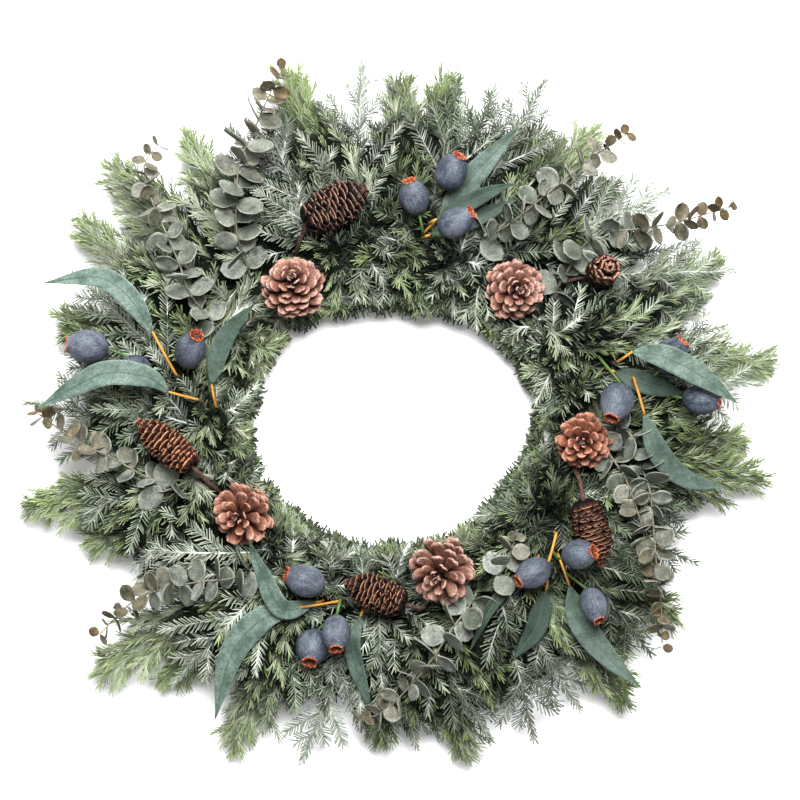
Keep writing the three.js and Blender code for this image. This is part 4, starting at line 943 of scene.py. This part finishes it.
def blocked(points, blockers, slack=0.0, into=6.0):
    """Which points would hide what has to show, or lie in the open middle or outside the box."""
    turn = np.degrees(np.arctan2(points[:, 1], points[:, 0]))
    hit = np.hypot(points[:, 0], points[:, 1]) < hole_at(turn) - into
    hit |= (np.abs(points[:, :2] + SHIFT[:2]) > LIMIT).any(1)
    x, y, radius, low = blockers.T.astype(np.float32)
    for first in range(0, len(points), BATCH):
        part = points[first:first + BATCH].astype(np.float32)
        near = (part[:, :1] - x) ** 2 + (part[:, 1:2] - y) ** 2 < (radius + slack) ** 2
        hit[first:first + BATCH] |= (near & (part[:, 2:] > low - slack)).any(1)
    return hit


class Foliage:
    """Twigs and needles of one bunch."""

    def __init__(self, kind, rng, blockers):
        self.kind, self.rng, self.blockers = kind, rng, blockers
        self.body = Body()
        self.sets = []

    def comb(self, path, needles, tone, frost, tip, start, dense=1.0):
        """Needles along a path. Each row draws the random angles of all four rows, so their order stays."""
        rng = self.rng
        spacing, angle, length, width, rows = NEEDLES[needles]
        spacing = spacing / dense
        total = length_of(path)
        tangent, side, top = frames(path)
        s = np.linspace(0, total, len(path))
        for row, share in enumerate(rows):
            if share <= 0:
                continue
            n = max(1, int((total - start) / spacing * share))
            at = start + (total - start) * (np.arange(n) + 0.5 + rng.uniform(-0.3, 0.3, n)) / n
            foot, t, u, v = (np.stack([np.interp(at, s, field[:, k]) for k in range(3)], 1)
                             for field in (path, tangent, side, top))
            phi = (rng.normal(8, 9, n), 180 - rng.normal(8, 9, n), rng.uniform(45, 135, n),
                   rng.uniform(-140, -40, n))[row] * math.pi / 180
            share_along = at / total
            lean = np.radians(angle * (1 - 0.55 * share_along ** 5) + rng.normal(0, 5.5, n))[:, None]
            around = u * np.cos(phi)[:, None] + v * np.sin(phi)[:, None]
            direction = unit(t * np.cos(lean) + around * np.sin(lean))
            size = length * rng.uniform(0.8, 1.12, n) * (1 - 0.35 * share_along ** 6)
            self.sets.append((foot, direction, size, np.full(n, width), tone + rng.normal(0, 0.22, n),
                              np.clip(frost + rng.normal(0, 0.20, n), 0, 1), tip * share_along))

    def twig(self, path, radius, tone, frost, sides=3):
        if sides < 5:
            path = path[::2] if len(path) > 4 else path[[0, -1]]
        tube(self.body, path, np.linspace(radius, radius * 0.4, len(path)), sides, tone=tone, frost=frost)

    def side_twig(self, foot, direction, tangent, length, droop, count=7):
        """A side twig that curves forward; cut short where it would cover something, None where too short."""
        t = np.linspace(0, 1, count)[:, None]
        sideways = np.cross(UP, direction) * self.rng.uniform(-0.14, 0.14)
        path = foot + direction * (length * t) + (tangent * 0.10 + sideways) * (length * t ** 2) \
            - UP * (droop * t ** 2)
        path[:, 2] = np.maximum(path[:, 2], 3.0)
        hit = np.flatnonzero(blocked(path, self.blockers, 1.0, self.rng.uniform(-5, 3)))
        if len(hit):
            stop = hit[0]
            if stop < 3:
                return None
            path = resample(path[:stop], count)
        return path

    def close(self):
        """Adds the needles that are clear of everything, each a slim closed wedge with two crossed ends."""
        foot, direction, length, width, tone, frost, tip = (np.concatenate(c) for c in zip(*self.sets))
        apex = foot + direction * length[:, None]
        near_tip, middle = foot + (apex - foot) * 0.85, (foot + apex) / 2
        ok = ~(blocked(near_tip, self.blockers) | blocked(middle, self.blockers)) & (apex[:, 2] > 0.5)
        foot, direction, apex, width, tone, frost, tip = (
            value[ok] for value in (foot, direction, apex, width, tone, frost, tip))
        side = unit(np.cross(direction, UP) + 1e-6)
        top = np.cross(side, direction)
        one = (side + top) * (0.3536 * width)[:, None]
        other = (side - top) * (0.24 * width)[:, None]
        base = foot - direction * 0.3
        points = np.stack([base + one, base - one, apex + other, apex - other], 1)
        faces = (np.arange(len(foot))[:, None, None] * 4 + NEEDLE_FACES[None]).reshape(-1, 3)
        self.body.add(points.reshape(-1, 3), [faces], None, tone=np.repeat(np.clip(tone, 0, 1), 4),
                      frost=(frost[:, None] * NEEDLE_FROST).ravel(), tip=(tip[:, None] * NEEDLE_TIP).ravel())


class Stem:
    """The middle twig of a spray, and where its side twigs leave it."""

    def __init__(self, path):
        self.total = length_of(path)
        self.path = resample(path, max(8, int(self.total / 8)))
        self.frame = frames(self.path)
        self.begin = min(8, self.total * 0.1)

    def branch(self, bunch, at, sign, reach, ease=1.0):
        """A side twig at a distance from the stem's root, and the length that it was meant to have."""
        rng = bunch.rng
        leans, spread, tilts, droops = SIDE_TWIGS[bunch.kind]
        count = len(self.path)
        s = np.linspace(0, self.total, count)
        i = int(np.clip(np.searchsorted(s, at), 1, count - 1))
        tangent, side, top = (field[i] for field in self.frame)
        foot = np.array([np.interp(at, s, self.path[:, k]) for k in range(3)])
        lean = math.radians(rng.uniform(*leans))
        reach = reach * rng.uniform(*spread) * ease
        tilt = rng.uniform(*tilts)
        direction = unit(tangent * math.cos(lean) + side * sign * math.sin(lean) + top * tilt)
        return bunch.side_twig(foot, direction, tangent, reach, rng.uniform(*droops)), reach


def spruce_spray(bunch, path, tone, frost, dense=1.0):
    rng = bunch.rng
    stem = Stem(path)
    bunch.twig(stem.path, 1.2, tone, min(1, frost + 0.25), 5)
    bunch.comb(stem.path, "spruce stem", tone, frost, 0.15, stem.begin, dense)
    sign = rng.choice([-1, 1])
    at = stem.begin + 4
    while at < stem.total - 24:
        reach = np.clip((stem.total - at) * 0.62, 14, 62)
        twig, _ = stem.branch(bunch, at, sign, reach, min(1.0, 0.6 + (at - stem.begin) / 50))
        if twig is not None:
            twig_tone = np.clip(tone + rng.normal(0, 0.16), 0.05, 1)
            dust = np.clip(frost + rng.normal(0, 0.12), 0, 1)
            bunch.twig(twig, 0.8, twig_tone, min(1, dust + 0.3))
            bunch.comb(twig, "spruce twig", twig_tone, dust, 0.3, 2.0, dense)
        sign = -sign
        at += rng.uniform(10.0, 13.5)


def cedar_spray(bunch, path, tone, frost, dense=1.0):
    rng = bunch.rng
    stem = Stem(path)
    total = stem.total
    bunch.twig(stem.path, 1.0, tone, frost, 5)
    bunch.comb(stem.path, "cedar stem", tone, frost, 0.3, stem.begin, dense)
    sign = rng.choice([-1, 1])
    at = stem.begin + 2
    while at < total - 8:
        twig, reach = stem.branch(bunch, at, sign, np.clip((total - at) * 0.48 + 7, 10, 54))
        sign = -sign
        at += rng.uniform(6.4, 9.2)
        if twig is None:
            continue
        green = np.clip(0.15 + 0.75 * at / total + rng.normal(0, 0.18), 0, 1)
        twig_tone = np.clip(tone + rng.normal(0, 0.18), 0.05, 1)
        dust = np.clip(frost * (1.3 - 0.8 * at / total) + rng.normal(0, 0.1), 0, 1)
        bunch.twig(twig, 0.6, twig_tone, dust)
        bunch.comb(twig, "cedar twig", twig_tone, dust, green * 0.7, 3.0, dense)
        tangent, side, top = frames(twig)
        for k, share in enumerate((0.34, 0.54, 0.72, 0.87) if dense > 0.8 else (0.5, 0.8)):
            j = int(round(share * (len(twig) - 1)))
            flick = 1 if (k % 2) else -1
            fan = math.radians(rng.uniform(14, 32))
            way = unit(tangent[j] * math.cos(fan) + side[j] * flick * math.sin(fan)
                       + top[j] * rng.uniform(-0.1, 0.35))
            length = rng.uniform(9, 18) * min(1, 0.5 + reach / 50)
            spur = bunch.side_twig(twig[j], way, tangent[j], length, 0, 4)
            if spur is not None:
                bunch.twig(spur, 0.5, twig_tone, dust * 0.5)
                bunch.comb(spur, "cedar spur", twig_tone + 0.1, dust * 0.6, green, 1.0, dense)


def plain_spray(bunch, path, tone, frost):
    """A single twig with needles, as they run round the open middle."""
    path = resample(path, 14)
    bunch.twig(path, 1.1, tone, min(1, frost + 0.4), 5)
    bunch.comb(path, "plain twig", tone, frost, 0.1, 1.0)


def shade_filler_spray(bunch, path):
    """A coarse spray deep inside, below everything that shows, low in tone and frost: painted shade that
    fills the gaps with darkness.
    """
    rng = bunch.rng
    tone, frost = 0.3, 0.05
    path = resample(path, 8)
    tangent, side, top = frames(path)
    bunch.twig(path, 1.4, 0.2, 0.0, 5)
    bunch.comb(path, "under stem", tone, frost, 0.0, 2.0)
    for k in range(1, 7):
        for sign in (1, -1):
            way = unit(tangent[k] + side[k] * sign * rng.uniform(0.7, 1.2) + top[k] * rng.uniform(-0.1, 0.3))
            twig = bunch.side_twig(path[k], way, tangent[k], rng.uniform(20, 30), 0)
            if twig is not None:
                bunch.comb(twig, "under twig", tone, frost, 0.0, 1.0)


# ---------- bunches ----------
OUTLINE = np.array(sorted([(d % 360, r - 9) for table in (SPRUCE, CEDAR) for _, tips, *_ in table.values()
                           for d, r in tips]))
SPRAYS = {"spruce": spruce_spray, "cedar": cedar_spray}
# lean of the sprays at the ring in degrees, how far their tips stay inside the given ones, heights
HUB_LEAN = {"spruce": 78, "cedar": 18}
TIP_TRIM = {"spruce": 8, "cedar": 10}
TIP_Z = {"spruce": 22, "cedar": 16}
MID_Z = {"spruce": 50, "cedar": 27}
INNER_Z = (30, 44)
# sprays with their middle below LOW_Z leave the ring at LOW_LEAN; ones that end within INNER_RADIUS turn in
LOW_Z, LOW_LEAN, INNER_RADIUS = 30, 30, 165
# filling sprays: offset in degrees, reach (a share of the outline, millimetres, or None at the open middle),
# heights of tip and middle, density
FILL = {
    "spruce": [(-18, 0.84, 14, 24, 0.75), (-9, 0.78, 16, 26, 0.75), (0, 0.86, 14, 24, 0.75),
               (9, 0.78, 16, 25, 0.75), (18, 0.84, 15, 26, 0.75), (-14, 232, 32, 49, 1), (-5, 212, 44, 56, 1),
               (5, 215, 38, 52, 1), (14, 236, 30, 48, 1), (-28, None, 24, 38, 1), (-12, None, 30, 42, 1),
               (12, None, 26, 40, 1), (27, None, 24, 38, 1), (-26, 146, 40, 47, 1), (24, 150, 42, 48, 1)],
    "cedar": [(-15, 0.84, 11, 18, 0.65), (-4, 0.9, 12, 20, 0.65), (7, 0.86, 12, 18, 0.65),
              (16, 0.82, 11, 20, 0.65), (-9, 225, 32, 47, 1), (6, 240, 26, 42, 1), (-20, None, 22, 34, 0.9),
              (18, None, 22, 34, 0.9), (24, 158, 38, 42, 1)],
}
# sprays across the bunch that cover the ring: offset in degrees, distance from the open middle, height
COVER = [(-5, 6, 22), (5, 9, 31), (0, 14, 27), (-6, 18, 36), (4, 26, 37), (-3, 36, 39), (2, 50, 38)]
PLAIN_WITHIN = 30
# dark sprays below, painted shade that fills the gaps: offset in degrees, reach (None at the open middle),
# heights of tip and middle
SHADE_FILLERS = [(-14, 192, 12, 20), (-5, 186, 14, 22), (5, 194, 12, 20), (14, 186, 14, 22), (-15, None, 12, 16),
         (-6, None, 16, 20), (4, None, 12, 16), (13, None, 16, 20)]


def outline(degrees):
    return float(np.interp(degrees % 360, OUTLINE[:, 0], OUTLINE[:, 1], period=360))


def lowered(path, blockers):
    """Takes a path below what it may not cover."""
    path = path.copy()
    for x, y, radius, low in blockers:
        near = (path[:, 0] - x) ** 2 + (path[:, 1] - y) ** 2 < (radius + 5) ** 2
        path[near, 2] = np.minimum(path[near, 2], max(low - 5, 9))
    smooth = np.convolve(np.pad(path[:, 2], 3, mode="edge"), np.ones(7) / 7, "valid")
    path[1:, 2] = smooth[1:]
    return path


def turn_between(a, b):
    """The short way round from a to b, in degrees."""
    return (b - a + 180) % 360 - 180


def spray_rows(rng, kind, root, tips, inner):
    """Degrees, radius, heights of tip and middle, and density of the sprays of a bunch."""
    rows = [(d, r - TIP_TRIM[kind], TIP_Z[kind], MID_Z[kind], 1.0) for d, r in tips]
    rows += [(d, r, *INNER_Z, 1.0) for d, r in inner]
    for offset, reach, tip_z, mid_z, dense in FILL[kind]:
        d = root + offset + rng.uniform(-3.5, 3.5)
        if reach is None:
            reach = float(hole_at(d)) + rng.uniform(4, 12)
        elif reach < 2:
            reach = outline(d) * reach
        rows.append((d, reach * rng.uniform(0.97, 1.03), tip_z, mid_z, dense))
    return rows


def spray_path(bunch, root, degrees, radius, tip_z, mid_z):
    """From the ring over the bunch's middle to the tip of a spray."""
    rng = bunch.rng
    swing = turn_between(root, degrees)
    lean = LOW_LEAN if mid_z < LOW_Z else HUB_LEAN[bunch.kind]
    hub = ring_point(root + np.clip(swing * 0.4, -9, 9) + rng.uniform(-3, 3), lean, 13)
    tip = polar(degrees, radius, tip_z + rng.uniform(-4, 4))
    middle = hub + (tip - hub) * 0.45
    middle[2] = mid_z + rng.uniform(-6, 5)
    bend = hub + (tip - hub) * 0.14
    bend[2] = hub[2] + (middle[2] - hub[2]) * 0.6
    if radius < INNER_RADIUS:
        middle = polar(root + swing * 0.55, radius * 0.5 + 70, mid_z)
        bend = (hub + middle) / 2 + [0, 0, 5]
    return lowered(curve([hub, bend, middle, tip], 40), bunch.blockers)


def grow_bunch(kind, root, tips, inner, seed, mood):
    rng = np.random.default_rng(seed)
    blockers = np.vstack(KEEP)
    centre = polar(root, 190)
    blockers = blockers[np.hypot(blockers[:, 0] - centre[0], blockers[:, 1] - centre[1]) < 260]
    bunch = Foliage(kind, rng, blockers)
    grow = SPRAYS[kind]

    def next_mood():
        """Tone and frost of the next spray; mood lightens or darkens the whole bunch."""
        return (np.clip(rng.uniform(0.3, 1.0) + 0.3 * mood, 0.1, 1),
                np.clip(rng.uniform(0.12, 1.0) + 0.3 * mood, 0, 1))

    for *row, dense in spray_rows(rng, kind, root, tips, inner):
        path = spray_path(bunch, root, *row)
        grow(bunch, path, *next_mood(), dense)
    for turn, away, z in COVER:
        way = rng.choice([-1, 1])
        at = root + turn + rng.uniform(-3, 3)
        points = [polar(a, hole_at(a) + away + more, z + rise)
                  for a, more, rise in ((at - 11 * way, 8, -6), (at, 4, 0), (at + 12 * way, 0, -2))]
        path = lowered(curve(points, 30), blockers)
        tone, frost = next_mood()
        # painted light and shade: sprays at the open middle are made darker at its top and lighter at its
        # bottom and left, for the way the light falls
        bright = -0.45 * math.sin(math.radians(at)) + 0.3 * max(0.0, -math.cos(math.radians(at)))
        tone, frost = np.clip(tone + bright, 0.1, 1), np.clip(frost + bright, 0, 1)
        if away < PLAIN_WITHIN:
            plain_spray(bunch, path, tone, frost)
        else:
            grow(bunch, path, tone, frost, 0.9)
    for offset, radius, tip_z, mid_z in SHADE_FILLERS:
        d = root + offset + rng.uniform(-2, 2)
        inwards = radius is None
        hub = polar(d, 138 if inwards else 150, 14)
        tip = polar(d + rng.uniform(-5, 5), float(hole_at(d)) + 14 if inwards else radius, tip_z)
        shade_filler_spray(bunch, curve([hub, (hub + tip) / 2 + [0, 0, mid_z - 15], tip], 20))
    bunch.close()
    return bunch


# ---------- painted shade between the needles -----
CELL = 3.0
FIELD = 330.0
# mm below the foliage's top where the needles' painted shade starts, and how much further down they are black
PAINTED_SHADE_FROM, PAINTED_SHADE_OVER = 1.2, 7.4
# radius where outer tips start to escape the painted shade and frost and tone start to fade, over OUTER_BAND
LIGHT_FROM, FADE_FROM, OUTER_BAND = 235, 220, 45
# share of the painted shade that the outer tips escape, and the needles at the open middle, over HOLE_BAND
LIGHT_TIPS, LIGHT_HOLE, HOLE_BAND = 0.6, 0.85, 14
# how much frost and tone the outer needles lose
FAR_FROST = 0.40
FAR_TONE = {"spruce": 0.12, "cedar": 0.0}


def paint_shade_between_needles(bunches):
    """Paints shade inside the wreath: below the top of the needles, tone, frost and green fade, as painted
    shade between the sprays.
    """
    n = int(2 * FIELD / CELL)

    def cells(points):
        return tuple(np.clip(((points[:, :2] + FIELD) / CELL).astype(int), 0, n - 1).T)

    every = np.vstack([p for bunch in bunches for p in bunch.body.points])
    highest = np.zeros((n, n))
    np.maximum.at(highest, cells(every), every[:, 2])
    around = [np.roll(highest, shift, (0, 1)) for shift in ((0, 0), (1, 0), (-1, 0), (0, 1), (0, -1))]
    top = np.max(around, axis=0)
    blur = sum(np.roll(top, (i, j), (0, 1)) for i in (-1, 0, 1) for j in (-1, 0, 1)) / 9
    top = np.minimum(top, blur + 4)
    for bunch in bunches:
        for k, points in enumerate(bunch.body.points):
            out = np.hypot(points[:, 0], points[:, 1])
            inside = hole_at(np.degrees(np.arctan2(points[:, 1], points[:, 0])))
            rim = np.clip((out - LIGHT_FROM) / OUTER_BAND, 0, 1) * LIGHT_TIPS
            rim = np.maximum(rim, np.clip(1.1 - (out - inside) / HOLE_BAND, 0, LIGHT_HOLE))
            share = 1 - np.clip((top[cells(points)] - points[:, 2] - PAINTED_SHADE_FROM) / PAINTED_SHADE_OVER, 0, 1) * (1 - rim)
            far = np.clip((out - FADE_FROM) / OUTER_BAND, 0, 1)
            fade = {"frost": 1 - FAR_FROST * far, "tone": 1 - FAR_TONE[bunch.kind] * far}
            for name, store in bunch.body.looks.items():
                store[k] = store[k] * share * fade.get(name, 1.0)


# ---------- assembly: the needles come last, because they keep clear of everything else ----------
vine_ring()
for name, spec in ROUND_CONES.items():
    round_cone(name, *spec)
for name, spec in LONG_CONES.items():
    long_cone(name, *spec)
for group in BERRIES.values():
    for name, spec in group.items():
        berry(name, *spec)
for key in PICKS:
    pick(key)
for name in EUCALYPTUS:
    eucalyptus(name)
bunches = {name: grow_bunch("spruce", *spec) for name, spec in SPRUCE.items()}
bunches.update({name: grow_bunch("cedar", *spec) for name, spec in CEDAR.items()})
# painted shade: needles below the top of the foliage lose tone, frost and green
paint_shade_between_needles(bunches.values())
for name, bunch in bunches.items():
    place(bunch.body.build(name + "_needles", LOOKS[bunch.kind], smooth=False), bunch.kind, name)

# ---------- floor, light, camera ----------
floor_look = Look("floor_paper")
speck = floor_look.noise(floor_look.place(), 3.0, 2.0)
paper = floor_look.ramp(speck, (0.3, (0.90, 0.90, 0.90)), (0.7, (0.92, 0.92, 0.92)))
floor_mesh = bpy.data.meshes.new("floor")
floor_mesh.from_pydata([(-4, -4, 0), (4, -4, 0), (4, 4, 0), (-4, 4, 0)], [], [(0, 1, 2, 3)])
floor_mesh.materials.append(floor_look.finish(paper, 0.9, dim=1, Specular_IOR_Level=0.0))
floor = bpy.data.objects.new("floor", floor_mesh)
floor.location.z = -0.0005
bpy.context.scene.collection.objects.link(floor)


def area_light(name, at, size, power):
    """A round lamp that looks at the origin."""
    data = bpy.data.lights.new(name, "AREA")
    data.shape, data.size, data.energy = "DISK", size, power
    light = bpy.data.objects.new(name, data)
    bpy.context.scene.collection.objects.link(light)
    light.location = at
    light.rotation_mode = "QUATERNION"
    light.rotation_quaternion = (-Vector(at)).to_track_quat("-Z", "Y")


# metres and watts
area_light("key", (0.08, 1.15, 2.12), size=1.6, power=196)
area_light("fill", (0.9, -1.2, 2.0), size=1.6, power=13)
SKY_LIGHT = 0.17
world = bpy.data.worlds.new("studio")
world.use_nodes = True
world.node_tree.nodes["Background"].inputs["Color"].default_value = (1.0, 1.0, 1.0, 1.0)
world.node_tree.nodes["Background"].inputs["Strength"].default_value = SKY_LIGHT
bpy.context.scene.world = world
bpy.context.scene.view_settings.view_transform = "Standard"

# in metres: the middle of the view, the width that it takes in at VIEW_HEIGHT, and the camera's distance
VIEW_CENTRE = (0.0007, 0.0086)
VIEW_WIDTH = 0.640
VIEW_HEIGHT = 0.045
DISTANCE = 2.5
camera_data = bpy.data.cameras.new("camera")
camera_data.sensor_width = 36.0
camera_data.lens = 36.0 * DISTANCE / VIEW_WIDTH
camera_data.clip_end = 100.0
camera = bpy.data.objects.new("camera", camera_data)
camera.location = (*VIEW_CENTRE, VIEW_HEIGHT + DISTANCE)
bpy.context.scene.collection.objects.link(camera)
bpy.context.scene.camera = camera
